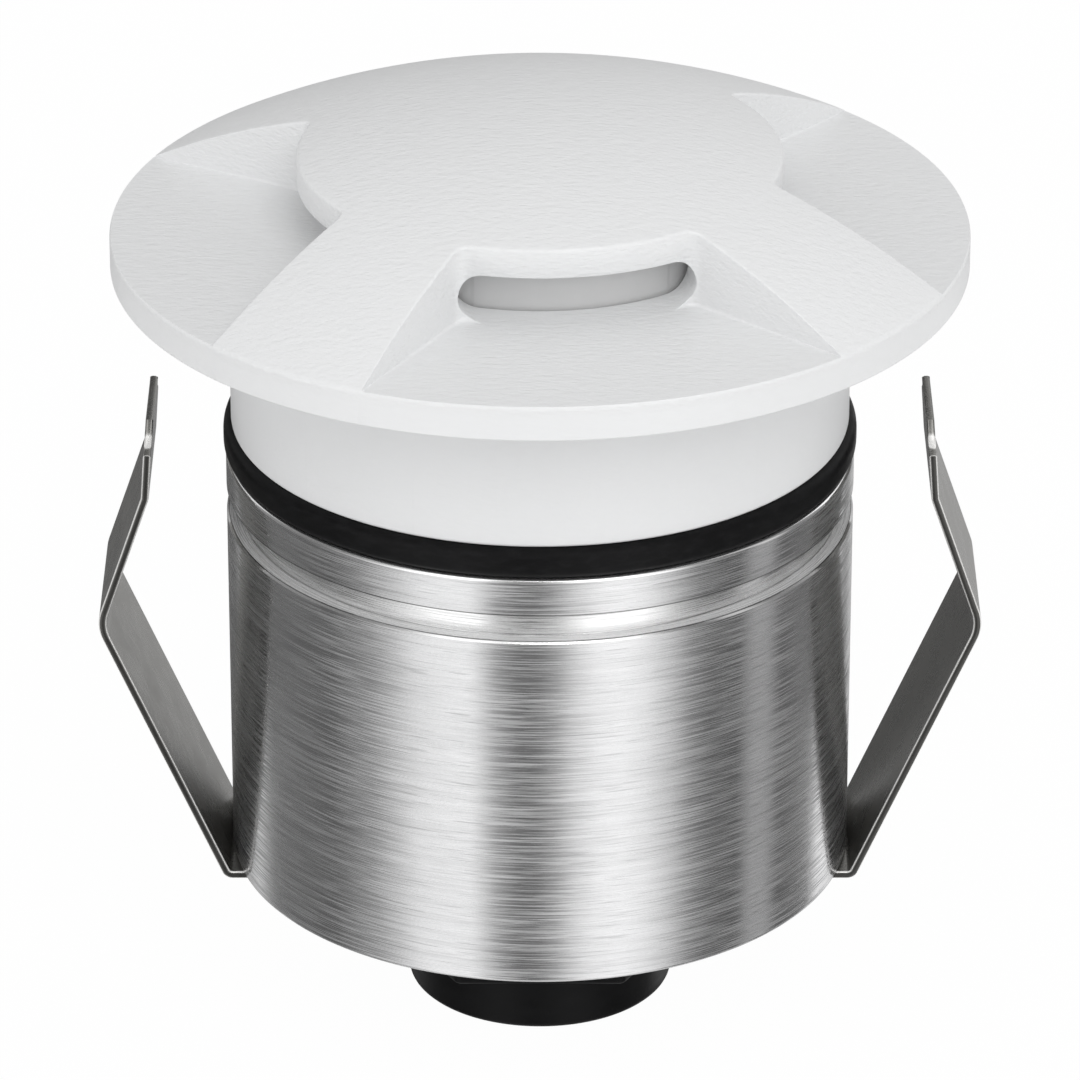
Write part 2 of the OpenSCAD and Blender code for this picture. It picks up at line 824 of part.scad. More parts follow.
// Foot of a clip, flat under the floor
module clip_foot(side) {
    color("darkgray")
        on_side(side)
            difference() {
                translate([foot_in_x, -strip_w / 2, body_z - strip_t])
                    cube([root_x - foot_in_x, strip_w, strip_t]);
                for (side_y = [-1, 1])
                    translate([rivet_x, side_y * rivet_apart / 2, body_z - strip_t - cut])
                        cylinder(r = rivet_r + screw_gap, h = strip_t + 2 * cut);
            }
}

// Lower part of a clip: the bend at the foot, the lower leg and half of the elbow
module clip_arm(side) {
    root_at = [root_x, root_z];
    color("gray")
        on_side(side)
            strip(concat(
                bend(root_at, root_out_r, -90, -leg_lean),
                bend(elbow_at, elbow_r, -leg_lean, elbow_mid_deg),
                bend(elbow_at, elbow_in_r, elbow_mid_deg, -leg_lean),
                bend(root_at, root_bend_r, -leg_lean, -90)
            ));
}

// Upper part of a clip: the rest of the elbow, the upper leg and the tab
module clip_tip(side) {
    color("gray")
        on_side(side)
            difference() {
                strip(concat(
                    bend(elbow_at, elbow_r, elbow_mid_deg, upper_lean),
                    bend(tab_bend_at, tab_bend_r, 180 + upper_lean, 180 + tab_lean),
                    [tip_out, tip_out - strip_t * tab_out],
                    bend(tab_bend_at, tab_bend_r + strip_t, 180 + tab_lean, 180 + upper_lean),
                    bend(elbow_at, elbow_in_r, upper_lean, elbow_mid_deg)
                ));
                for (side_y = [0, 1]) mirror([0, side_y, 0]) shoulder_cut();
            }
}

// What is cut off beside the tab: a hollow corner, and all above it
module shoulder_cut() {
    corner_y = tab_w / 2 + shoulder_r;
    far = elbow_r + strip_w;
    translate([body_r, 0, tab_shoulder_z]) {
        translate([0, corner_y, 0]) cube([far, strip_w, far]);
        translate([0, corner_y, shoulder_r]) rotate([0, 90, 0]) cylinder(r = shoulder_r, h = far);
        translate([0, tab_w / 2, shoulder_r]) cube([far, strip_w, far]);
    }
}

cap();
window_gasket();
light_guide();
reflector_cone();
led_board();
led_chips();
led_board_screws();
thermal_pad();
heat_sink();
head_screws();
standoffs();
driver_board();
driver_board_screws();
inductor();
capacitor();
rectifier();
driver_chip();
varistor();
terminal_block();
led_leads();
cap_gasket();
housing();
insulating_liner();
gland_washer();
gland_body();
gland_lock_nut();
cable_grommet();
gland_nut();
clip_rivets();
clip_foot(-1);  // clip_foot_left
clip_foot(1);  // clip_foot_right
clip_arm(-1);  // clip_arm_left
clip_arm(1);  // clip_arm_right
clip_tip(-1);  // clip_tip_left
clip_tip(1);  // clip_tip_right
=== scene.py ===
"""Dresses the recessed ground light: its white textured head, black seal, brushed steel body,
two spring clips and cable gland, with a finish on every inner piece and a plain studio stage."""

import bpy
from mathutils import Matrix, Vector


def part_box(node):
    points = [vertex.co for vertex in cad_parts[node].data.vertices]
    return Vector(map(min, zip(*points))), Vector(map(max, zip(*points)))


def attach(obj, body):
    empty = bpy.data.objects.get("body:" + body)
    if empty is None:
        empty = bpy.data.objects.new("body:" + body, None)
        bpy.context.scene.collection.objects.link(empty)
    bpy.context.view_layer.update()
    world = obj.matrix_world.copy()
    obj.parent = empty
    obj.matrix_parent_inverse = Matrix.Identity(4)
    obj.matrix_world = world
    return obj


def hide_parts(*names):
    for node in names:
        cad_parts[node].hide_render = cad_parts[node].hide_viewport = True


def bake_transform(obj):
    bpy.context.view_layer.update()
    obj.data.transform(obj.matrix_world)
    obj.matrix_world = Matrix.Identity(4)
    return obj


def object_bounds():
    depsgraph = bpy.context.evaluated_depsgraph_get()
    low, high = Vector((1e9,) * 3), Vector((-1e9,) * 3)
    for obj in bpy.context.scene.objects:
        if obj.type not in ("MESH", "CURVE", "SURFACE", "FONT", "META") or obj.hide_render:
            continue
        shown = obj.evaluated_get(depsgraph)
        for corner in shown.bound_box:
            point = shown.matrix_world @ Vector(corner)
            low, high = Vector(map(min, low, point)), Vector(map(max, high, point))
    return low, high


bl_info = {
    "name": "In Ground Well Light",
    "version": (1, 0, 0),
    "blender": (4, 5, 0),
    "location": "3D View > Sidebar > Well Light",
    "description": "Builds the visible pieces and finishes of a small recessed ground light",
    "category": "Add Mesh",
}

from math import asin, atan2, ceil, cos, hypot, pi, radians, sin, sqrt, tan

import bmesh
import bpy
from mathutils import Vector

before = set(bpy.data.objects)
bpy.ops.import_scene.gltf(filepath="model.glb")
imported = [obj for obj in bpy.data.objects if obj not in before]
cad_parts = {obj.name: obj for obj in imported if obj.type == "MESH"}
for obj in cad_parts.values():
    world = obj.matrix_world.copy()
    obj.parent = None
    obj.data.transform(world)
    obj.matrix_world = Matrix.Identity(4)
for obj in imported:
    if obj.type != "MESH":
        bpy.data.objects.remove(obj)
cad_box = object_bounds()

MM = 0.001
HEAD_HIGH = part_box("cap")[1]
RING_LOW, RING_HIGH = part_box("cap_gasket")
STEEL_LOW, STEEL_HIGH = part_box("housing")
CLIP_ROOT_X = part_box("clip_foot_right")[1].x
FLOOR_Z = cad_box[0].z
# Vertices and places nearer than this lie at the same spot
NEAR = 1e-6


# Sizes and colours that a user would change


def length(name, description, default):
    """A size in metres."""
    return bpy.props.FloatProperty(name=name, description=description, default=default, min=0,
                                   unit="LENGTH", precision=5)


def angle(name, description, default):
    """An angle, given in degrees."""
    return bpy.props.FloatProperty(name=name, description=description, default=radians(default),
                                   subtype="ANGLE")


def share(name, description, default):
    """A number from 0 to 1."""
    return bpy.props.FloatProperty(name=name, description=description, default=default, min=0, max=1,
                                   subtype="FACTOR")


def colour(name, description, default):
    """A colour, linear."""
    return bpy.props.FloatVectorProperty(name=name, description=description, default=default, size=3, min=0,
                                         max=1, subtype="COLOR")


class WELLLIGHT_PG_head(bpy.types.PropertyGroup):
    """Head, windows and light guide"""
    flange_r: length("Flange radius", "Radius of the white flange", HEAD_HIGH.x)
    crown_z: length("Crown height", "Height of the crown above the ground", HEAD_HIGH.z)
    floor_z: length("Recess floor", "Height of the recess floors above the ground", 2.5 * MM)
    rim_round: length("Rim rounding", "Rounding of the rim's upper edge", 0.5 * MM)
    wall_r: length("Window wall", "Radius of the wall that holds the windows", 16.9 * MM)
    wall: length("Wall thickness", "Thickness of the wall that holds the windows", 2.3 * MM)
    half: angle("Recess half width", "Half the width of a recess at the window wall", 28.3)
    flare: angle("Recess flare", "Direction of a recess's side walls", 39)
    corner: length("Recess corner", "Rounding in the upright corners of a recess", 1 * MM)
    edge: length("Recess edge", "Rounding of the top edges round a recess", 0.2 * MM)
    foot: length("Recess foot", "Fillet between the walls and the floor of a recess", 0.25 * MM)
    turn: angle("Window turn", "Turn of the windows from the clips", 9.6)
    window_h: length("Window height", "Height of a window above the recess floor", 3.45 * MM)
    window_half: length("Window half width", "Half the width of a window", 8.212 * MM)
    guide_r: length("Light guide radius", "Radius of the frosted pads behind the windows", 14.35 * MM)
    coat: colour("Coat", "Colour of the powder coat", (0.795, 0.8, 0.805))
    crepe: length("Crepe", "Depth of the coat's fine wrinkles", 0.07 * MM)
    frosted: colour("Frosted plastic", "Colour of the light guide", (0.63, 0.63, 0.63))


class WELLLIGHT_PG_body(bpy.types.PropertyGroup):
    """Steel body and seal"""
    body_r: length("Body radius", "Outer radius of the steel body", STEEL_HIGH.x)
    wall: length("Wall", "Wall of the steel body", 1.8 * MM)
    bottom: length("Floor", "Thickness of the body's floor", 1.5 * MM)
    edge: length("Edge", "Rounding of the body's upper and lower edges", 0.3 * MM)
    groove_top: length("Groove top", "Distance from the body's top to the groove", 2.75 * MM)
    groove_h: length("Groove height", "Height of the turned groove", 1.95 * MM)
    groove_deep: length("Groove depth", "Depth of the turned groove", 1.05 * MM)
    steel: colour("Steel", "Colour of the brushed steel", (0.6, 0.6, 0.605))
    brush: length("Brush marks", "Depth of the marks round the body", 0.006 * MM)
    seal: colour("Seal", "Colour of the black rubber", (0.006, 0.006, 0.0063))


class WELLLIGHT_PG_clips(bpy.types.PropertyGroup):
    """Spring clips"""
    strip_t: length("Strip thickness", "Thickness of the spring strip", 0.55 * MM)
    strip_w: length("Strip width", "Width of the spring strip", 12.05 * MM)
    tab_w: length("Tab width", "Width of the tab at the tip", 7.25 * MM)
    tab_h: length("Tab height", "Height of the tab above its hollow corners", 1.724 * MM)
    hollow: length("Hollow corner", "Radius of the hollow corners beside the tab", 1.7 * MM)
    edge: length("Edge", "Rounding of the strip's edges", 0.16 * MM)
    spring: colour("Spring steel", "Colour of the strip", (0.31, 0.305, 0.29))


class WELLLIGHT_PG_gland(bpy.types.PropertyGroup):
    """Cable gland"""
    hex_r: length("Hexagon", "Circle through the hexagon's corners", 12 * MM)
    nut_r: length("Nut radius", "Radius of the round nut", 9.52 * MM)
    nylon: colour("Nylon", "Colour of the black nylon", (0.006, 0.006, 0.0063))


class WELLLIGHT_PG_stage(bpy.types.PropertyGroup):
    """Camera, floor and lamps"""
    lens_px: bpy.props.FloatProperty(name="Lens", default=7549.17, min=100,
                                     description="Focal length in pixels of a 1080 pixel frame")
    tilt: angle("Camera height angle", "How far the camera looks down", 26.229)
    away: length("Camera distance", "Distance from the point that the camera looks at", 537.221 * MM)
    aim_z: bpy.props.FloatProperty(name="Aim height", default=-22.03 * MM, unit="LENGTH", precision=5,
                                   description="Height of the point that the camera looks at")
    floor: colour("Floor", "Colour of the floor in the light that falls on it", (0.9, 0.9, 0.9))
    fill: share("Fill", "Strength of the light from all round", 0.66)


# Helpers for modelling


def clear_selection():
    """Leaves edit mode and deselects everything."""
    if bpy.context.object and bpy.context.object.mode != "OBJECT":
        bpy.ops.object.mode_set(mode="OBJECT")
    bpy.ops.object.select_all(action="DESELECT")


def choose(piece):
    """Makes a piece the only selected object."""
    clear_selection()
    piece.select_set(True)
    bpy.context.view_layer.objects.active = piece


def start(kind, name, **settings):
    """Adds a primitive, names it and puts its place into its mesh."""
    clear_selection()
    getattr(bpy.ops.mesh, f"primitive_{kind}_add")(**settings)
    bpy.ops.object.transform_apply(location=True, rotation=True, scale=True)
    piece = bpy.context.object
    piece.name = piece.data.name = name
    return piece


def enter(piece, what="EDGE"):
    """Opens a piece in edit mode with nothing selected."""
    choose(piece)
    bpy.ops.object.mode_set(mode="EDIT")
    bpy.ops.mesh.select_mode(type=what)
    bpy.ops.mesh.select_all(action="DESELECT")


def leave():
    """Closes edit mode."""
    bpy.ops.object.mode_set(mode="OBJECT")


def pick(piece, kind, test):
    """In edit mode, selects only the vertices, edges or faces that pass a test."""
    bpy.ops.mesh.select_all(action="DESELECT")
    mesh = bmesh.from_edit_mesh(piece.data)
    found = [part for part in getattr(mesh, kind) if test(part)]
    for part in found:
        part.select_set(True)
    mesh.select_flush_mode()
    bmesh.update_edit_mesh(piece.data)
    return len(found)


def bevel(size, segments, **settings):
    """In edit mode, rounds the selected edges."""
    bpy.ops.mesh.bevel(offset=size, segments=segments, profile=0.5, affect="EDGES", **settings)


def move_picked(piece, place):
    """In edit mode, gives every selected vertex a new place, worked out from its old one."""
    mesh = bmesh.from_edit_mesh(piece.data)
    for vertex in mesh.verts:
        if vertex.select:
            vertex.co = place(vertex.co)
    bmesh.update_edit_mesh(piece.data)


def tidy(piece, merge=2e-6):
    """Merges doubles and turns all faces outwards."""
    enter(piece, "VERT")
    bpy.ops.mesh.select_all(action="SELECT")
    bpy.ops.mesh.remove_doubles(threshold=merge)
    bpy.ops.mesh.normals_make_consistent(inside=False)
    leave()


def finish_piece(piece, material, smooth):
    """Shades a piece, smooth across angles up to some degrees, and gives it its one material."""
    piece.data.materials.clear()
    piece.data.materials.append(material)
    for face in piece.data.polygons:
        face.material_index = 0
    choose(piece)
    bpy.ops.object.shade_smooth_by_angle(angle=radians(smooth))
    apply(piece, "WEIGHTED_NORMAL", keep_sharp=True, weight=60)


def apply(piece, kind, **settings):
    """Adds a modifier and applies it at once."""
    choose(piece)
    modifier = piece.modifiers.new(kind.title(), kind)
    for key, value in settings.items():
        setattr(modifier, key, value)
    bpy.ops.object.modifier_apply(modifier=modifier.name)


def cut_away(piece, cutter, mark):
    """Cuts one piece with another. The new faces carry a material named after the cut."""
    cutter.data.materials.clear()
    cutter.data.materials.append(bpy.data.materials.get(mark) or bpy.data.materials.new(mark))
    apply(piece, "BOOLEAN", object=cutter, operation="DIFFERENCE", solver="EXACT", material_mode="TRANSFER")
    bpy.data.objects.remove(cutter)


def rounded(corners, steps=5):
    """Points of a closed section from its corners, each with a rounding."""
    points = []
    count = len(corners)
    for index, (x, y, radius) in enumerate(corners):
        if not radius:
            points.append((x, y))
            continue
        here = Vector((x, y))
        before = (Vector(corners[index - 1][:2]) - here).normalized()
        after = (Vector(corners[(index + 1) % count][:2]) - here).normalized()
        half = before.angle(after) / 2
        centre = here + (before + after).normalized() * radius / sin(half)
        first, last = here + before * radius / tan(half), here + after * radius / tan(half)
        one, two = first - centre, last - centre
        sweep = one.angle_signed(two)
        for step in range(steps + 1):
            turned = -sweep * step / steps
            points.append((centre.x + one.x * cos(turned) - one.y * sin(turned),
                           centre.y + one.x * sin(turned) + one.y * cos(turned)))
    return points


def outline(name, points):
    """A loop of edges through points, from a circle whose vertices are moved."""
    piece = start("circle", name, vertices=len(points), radius=1, fill_type="NOTHING")
    for vertex, point in zip(piece.data.vertices, points):
        vertex.co = point
    return piece


def turned_ring(name, section, steps=256):
    """A solid turned round the light's axis from a closed section of radius and height."""
    piece = outline(name, [(radius, 0, height) for radius, height in section])
    enter(piece)
    bpy.ops.mesh.select_all(action="SELECT")
    bpy.ops.mesh.spin(steps=steps, angle=2 * pi, center=(0, 0, 0), axis=(0, 0, 1))
    leave()
    tidy(piece)
    return piece


def extruded(name, points, move):
    """A flat face through points, drawn out to a solid."""
    piece = outline(name, points)
    enter(piece)
    bpy.ops.mesh.select_all(action="SELECT")
    bpy.ops.mesh.edge_face_add()
    bpy.ops.mesh.extrude_region_move(TRANSFORM_OT_translate={"value": move})
    leave()
    tidy(piece)
    return piece


def prism(name, plan, low, high):
    """A flat plan raised to an upright solid."""
    return extruded(name, [(x, y, low) for x, y in plan], (0, 0, high - low))


def join(first, second):
    """Joins a second piece into the first, which keeps its name."""
    choose(first)
    second.select_set(True)
    bpy.ops.object.join()


# Helpers for materials


class Wire:
    """One output socket. Arithmetic on it adds Math nodes."""

    def __init__(self, finish, socket):
        self.finish, self.socket = finish, socket

    def math(self, operation, other=0.0):
        """This value and perhaps another, through a Math node."""
        return self.finish.calculate(operation, self, other)

    def __add__(self, other):
        return self.math("ADD", other)

    def __sub__(self, other):
        return self.math("SUBTRACT", other)

    def __mul__(self, other):
        return self.math("MULTIPLY", other)

    def __truediv__(self, other):
        return self.math("DIVIDE", other)

    def __rsub__(self, other):
        return self.finish.calculate("SUBTRACT", other, self)

    __radd__ = __add__
    __rmul__ = __mul__

    def ramp(self, low, high, to_low=0, to_high=1):
        """Rises smoothly from one value to another between two levels."""
        return self.finish.add("ShaderNodeMapRange", {"interpolation_type": "SMOOTHSTEP"},
                               {"Value": self, "From Min": low, "From Max": high, "To Min": to_low,
                                "To Max": to_high})

    def band(self, low, high, soft):
        """One between two levels, falling to nothing over a soft border."""
        return self.ramp(low - soft, low) * self.ramp(high, high + soft, 1, 0)


class Finish:
    """A procedural material under construction, in the piece's own coordinates."""

    def __init__(self, name, holder=None):
        self.material = holder or bpy.data.materials.new(name)
        if not holder:
            self.material.use_nodes = True
        self.tree = self.material.node_tree
        self.tree.nodes.clear()
        self.place = None

    def add(self, kind, settings=None, inputs=None, out=0):
        """Adds a node, sets it, feeds its sockets, and gives back one of its outputs."""
        node = self.tree.nodes.new(kind)
        for key, value in (settings or {}).items():
            if key == "stops":
                stops = node.color_ramp.elements
                while len(stops) < len(value):
                    stops.new(1)
                for stop, (position, tone) in zip(stops, value):
                    stop.position, stop.color = position, (tone, tone, tone, 1)
            else:
                setattr(node, key, value)
        for key, value in (inputs or {}).items():
            socket = node.inputs[key]
            if isinstance(value, Wire):
                self.tree.links.new(value.socket, socket)
            else:
                socket.default_value = value
        return Wire(self, node.outputs[out]) if node.outputs else None

    def calculate(self, operation, *values):
        """A Math node on values or wires."""
        return self.add("ShaderNodeMath", {"operation": operation}, dict(enumerate(values)))

    def at(self):
        """The piece's own coordinates."""
        if not self.place:
            self.place = self.add("ShaderNodeTexCoord", out="Object")
        return self.place

    def axis(self, letter):
        """One of the piece's own coordinates."""
        return self.add("ShaderNodeSeparateXYZ", None, {0: self.at()}, letter)

    def distance(self, across, up):
        """How far away a point is whose two offsets are known."""
        return (across * across + up * up).math("SQRT")

    def grain(self, size, detail=2.0, rough=0.5, seed=0.0):
        """Noise whose features have a size in metres, one or three of them, from 0 to 1."""
        sizes = size if isinstance(size, tuple) else (size,) * 3
        scaled = self.add("ShaderNodeMapping", {"vector_type": "POINT"},
                          {"Vector": self.at(), "Location": (seed, seed, seed),
                           "Scale": tuple(1 / value for value in sizes)})
        return self.add("ShaderNodeTexNoise", {"noise_dimensions": "3D"},
                        {"Vector": scaled, "Scale": 1.0, "Detail": detail, "Roughness": rough})

    def mix(self, amount, one, two):
        """A colour between two. A Mix node keeps its colour sockets at 6 and 7, and its result at 2."""
        return self.add("ShaderNodeMix", {"data_type": "RGBA"}, {0: amount, 6: one, 7: two}, 2)

    def bump(self, height, depth):
        """A bump of a depth in metres, from a height between 0 and 1."""
        return self.add("ShaderNodeBump", None, {"Height": height, "Distance": depth, "Strength": 1.0})

    def shade(self, **inputs):
        """Ends the material in one Principled shader."""
        inputs = {key.replace("_", " "): value for key, value in inputs.items()}
        shader = self.add("ShaderNodeBsdfPrincipled", None, inputs)
        self.add("ShaderNodeOutputMaterial", None, {"Surface": shader})
        return self.material


def rgba(colour, scale=1.0):
    """A colour made lighter or darker, with full opacity."""
    return (*(min(1.0, part * scale) for part in colour), 1.0)


def powder_coat(head):
    """White powder coat with a fine crepe of shallow wrinkles."""
    finish = Finish("white_powder_coat")
    wrinkles = finish.grain((0.95 * MM, 0.42 * MM, 0.3 * MM), 2.0, 0.5)
    creases = finish.grain((0.6 * MM, 0.26 * MM, 0.2 * MM), 1.0, 0.5, 3.1)
    specks = finish.grain(0.11 * MM, 1.0, 0.5, 7.7)
    tone = wrinkles * 0.7 + specks * 0.3
    colour = finish.mix(tone, rgba(head.coat, 0.985), rgba(head.coat, 1.01))
    height = (wrinkles + creases * 0.5 + specks * 0.06) * finish.axis("Z").ramp(1.6 * MM, 2.6 * MM, 0.2, 1)
    return finish.shade(Base_Color=colour, Roughness=wrinkles.ramp(0.2, 0.8, 0.42, 0.52),
                        Normal=finish.bump(height, head.crepe), Specular_IOR_Level=0.4)


def frosted_plastic(head):
    """Milky plastic that is a little uneven in tone, with painted shade towards the foot of its windows."""
    finish = Finish("frosted_plastic")
    cloud = finish.grain(1.6 * MM, 2.0, 0.6)
    frost = finish.grain(0.09 * MM, 2.0, 0.6, 5.0)
    # Painted shade: the plastic is darkened towards the foot of its window
    foot = finish.axis("Z").ramp(3 * MM, 6.2 * MM, 1.0, 0.0)
    tone = cloud * 0.25 + frost * 0.15 + foot * 0.25
    colour = finish.mix(tone, rgba(head.frosted, 1.06), rgba(head.frosted, 0.88))
    return finish.shade(Base_Color=colour, Roughness=frost.ramp(0.2, 0.8, 0.42, 0.6),
                        Normal=finish.bump(frost, 0.004 * MM))


def seal_rubber(body):
    """Black rubber with a soft sheen and a dusting that varies round the ring."""
    finish = Finish("black_seal_rubber")
    dust = finish.grain((1.5 * MM, 1.5 * MM, 0.5 * MM), 3.0, 0.6)
    pores = finish.grain(0.14 * MM, 2.0, 0.5, 2.0)
    colour = finish.mix(dust.ramp(0.4, 0.75) * 0.6 + pores * 0.3, rgba(body.seal), rgba(body.seal, 2.1))
    return finish.shade(Base_Color=colour, Roughness=dust.ramp(0.3, 0.7, 0.34, 0.46),
                        Normal=finish.bump(pores + dust, 0.006 * MM), Specular_IOR_Level=0.07)


def brushed_steel(body):
    """Stainless steel brushed round the body: long fine marks and deeper single scratches, with painted
    highlights on its edges, a groove lightened to a painted reflection and painted shade lines at the
    groove's corners."""
    finish = Finish("brushed_steel")
    x, y, z = (finish.axis(letter) for letter in "XYZ")
    # Marks follow height on the wall and radius on the floor, as on a turned piece
    past_wall = finish.distance(x, y) - body.body_r
    finish.place = finish.add("ShaderNodeCombineXYZ", None, {0: x, 1: y, 2: z + past_wall})
    fine = finish.grain((6 * MM, 6 * MM, 0.078 * MM), 2.0, 0.65)
    bands = finish.grain((14 * MM, 14 * MM, 0.35 * MM), 3.0, 0.6, 4.0)
    deep = finish.grain((3.5 * MM, 3.5 * MM, 0.11 * MM), 1.0, 0.4, 9.0).ramp(0.6, 0.72)
    haze = finish.grain(7 * MM, 2.0, 0.6, 1.3)
    tone = fine * 0.6 + bands * 0.25 + haze * 0.15
    colour = finish.mix(tone.ramp(0.28, 0.72), rgba(body.steel, 0.74), rgba(body.steel, 1.24))
    colour = finish.mix(deep * 0.35, colour, rgba(body.steel, 0.5))
    # Painted light at the groove: its colour is lightened to a painted reflection and its roughness raised
    # a little, painted shade lines lie along its corners, and painted highlights lie on the body's top edge
    # and on the broken edge under the groove
    high = STEEL_HIGH.z - body.groove_top
    low = high - body.groove_h
    groove = z.band(low, high - 0.02 * MM, 0.01 * MM)
    # Painted highlights: near-white colour on the body's top edge and on the broken edge under the groove
    painted_edge_highlight = (z.ramp(STEEL_HIGH.z - 0.24 * MM, STEEL_HIGH.z - 0.2 * MM)
              + z.band(low - 0.18 * MM, low - 0.08 * MM, 0.02 * MM))
    # Painted shade: dark lines along the groove's top and lower corners
    painted_shade_lines = (z.band(high - 0.01 * MM, high + 0.1 * MM, 0.03 * MM) * 0.7
             + z.band(low - 0.05 * MM, low - 0.02 * MM, 0.015 * MM) * 0.7
             + z.band(low + 0.06 * MM, low + 0.12 * MM, 0.03 * MM) * 0.3)
    colour = finish.mix(groove * 0.8, colour, rgba((0.88, 0.88, 0.88)))
    colour = finish.mix(painted_edge_highlight, colour, rgba((0.98, 0.98, 0.98)))
    colour = finish.mix(painted_shade_lines, colour, rgba((0.06, 0.06, 0.06)))
    ledge = z.band(low - 0.003 * MM, low + 0.02 * MM, 0.01 * MM)
    rough = fine.ramp(0.4, 0.6) * 0.38 + (bands - 0.5) * 0.2 + 0.04 + deep * 0.08 + groove * 0.06
    rough = rough * (1 - painted_edge_highlight) + painted_edge_highlight * 0.14
    height = fine * 0.7 + bands * 0.6 - deep * 0.5
    return finish.shade(Base_Color=colour, Metallic=0.94 - ledge * 0.5, Roughness=rough, Anisotropic=0.8,
                        Anisotropic_Rotation=0.25, Normal=finish.bump(height, body.brush))


def spring_steel(clips):
    """Satin grey-brown strip, drawn along its length, with painted highlights on its rounded corners and in
    its hollow corners, and dark cut edges.
    """
    finish = Finish("spring_steel")
    drawn = finish.grain((0.5 * MM, 0.11 * MM, 2.6 * MM), 3.0, 0.6)
    cloud = finish.grain(3.4 * MM, 3.0, 0.6, 2.0)
    y, z = finish.axis("Y"), finish.axis("Z")
    reach, half_w = y.math("ABSOLUTE"), clips.strip_w / 2
    side = reach.ramp(half_w - 0.05 * MM, half_w - 0.01 * MM)
    # Painted highlight along the strip's rounded edges
    painted_edge_highlight = reach.ramp(half_w - 0.18 * MM, half_w - 0.13 * MM) * (1 - side)
    path = StripPath(clips)
    shoulder = path.place(path.marks[-1] - clips.tab_h, 0).y
    # Painted reflection: a bright band painted in the hollow corner beside the tab, where it mirrors the
    # light
    away = finish.distance(reach - (clips.tab_w / 2 + clips.hollow), z - (shoulder + clips.hollow))
    painted_scoop_reflection = (away.ramp(clips.hollow + 0.1 * MM, clips.hollow + 0.14 * MM, 1, 0)
             * reach.ramp(clips.tab_w / 2 + 0.2 * MM, clips.tab_w / 2 + 0.45 * MM)
             * z.ramp(shoulder + 0.02 * MM, shoulder + 0.1 * MM))
    tone = drawn * 0.5 + cloud * 0.5
    colour = finish.mix(tone, rgba(clips.spring, 0.8), rgba(clips.spring, 1.25))
    # Both painted highlights lighten the colour and lower the metal share
    painted_highlight = painted_edge_highlight.math("MAXIMUM", painted_scoop_reflection)
    colour = finish.mix(painted_highlight, colour, rgba((0.95, 0.94, 0.92)))
    colour = finish.mix(side * 0.85, colour, rgba(clips.spring, 0.12))
    rough = tone.ramp(0.3, 0.7, 0.24, 0.34)
    return finish.shade(Base_Color=colour, Metallic=0.94 - painted_highlight * 0.55, Roughness=rough,
                        Normal=finish.bump(drawn * 0.6 + cloud * 0.4, 0.0018 * MM))


def black_nylon(gland):
    """Moulded nylon with a fine grain."""
    finish = Finish("black_nylon")
    grain = finish.grain(0.16 * MM, 3.0, 0.6)
    flow = finish.grain((5 * MM, 5 * MM, 1.2 * MM), 2.0, 0.5, 6.0)
    colour = finish.mix(grain * 0.5 + flow * 0.5, rgba(gland.nylon, 0.8), rgba(gland.nylon, 1.7))
    return finish.shade(Base_Color=colour, Roughness=flow.ramp(0.3, 0.7, 0.34, 0.48),
                        Normal=finish.bump(grain + flow, 0.008 * MM), Specular_IOR_Level=0.08)


def plain_finish(name, base, dark, grain=0.3, depth=0.005, rough=(0.4, 0.6), metal=0.0, drawn=None):
    """An inner piece's finish: two tones of its colour, mottled or drawn, with a fine bump."""
    finish = Finish(name)
    sizes = tuple(value * MM for value in drawn) if drawn else grain * MM
    marks = finish.grain(sizes, 3.0, 0.6)
    cloud = finish.grain(2.8 * MM, 2.0, 0.6, 4.0)
    tone = marks * 0.6 + cloud * 0.4
    colour = finish.mix(tone.ramp(0.3, 0.7), rgba(dark), rgba(base))
    return finish.shade(Base_Color=colour, Metallic=metal, Roughness=tone.ramp(0.3, 0.7, *rough),
                        Normal=finish.bump(marks, depth * MM))


# The pieces


def seat(piece, node):
    """Attaches a piece of the fixed light to its body and hides the CAD node that it stands for."""
    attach(piece, "light")
    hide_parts(node)


def recess_plan(head):
    """Plan of one recess, opening towards +X: round inner wall, filleted corners and flared sides."""
    corner = Vector((head.wall_r * cos(head.half), head.wall_r * sin(head.half)))
    along = Vector((cos(head.flare), sin(head.flare)))
    inward = Vector((sin(head.flare), -cos(head.flare)))
    first = corner + inward * head.corner
    half_b = first.dot(along)
    reach = -half_b + sqrt(half_b ** 2 - first.length_squared + (head.wall_r + head.corner) ** 2)
    centre = first + along * reach
    upper = [corner + along * head.flange_r]
    start_turn = atan2(-inward.y, -inward.x)
    end_turn = atan2(-centre.y, -centre.x) + 2 * pi
    corner_steps, wall_steps = 5, 96
    for step in range(corner_steps + 1):
        turn = start_turn + (end_turn - start_turn) * step / corner_steps
        upper.append(centre + Vector((cos(turn), sin(turn))) * head.corner)
    edge = atan2(centre.y, centre.x)
    arc = [Vector((cos(turn), sin(turn))) * head.wall_r
           for turn in (edge - 2 * edge * step / wall_steps for step in range(1, wall_steps))]
    lower = [Vector((point.x, -point.y)) for point in reversed(upper)]
    return [tuple(point) for point in upper + arc + lower]


def window_turns(head):
    """Directions of the front, right and left window. The back of the head has none."""
    return [head.turn + quarter * pi / 2 for quarter in (-1, 0, 2)]


def turned_plan(plan, turn):
    """A plan turned round the light's axis."""
    return [(x * cos(turn) - y * sin(turn), x * sin(turn) + y * cos(turn)) for x, y in plan]


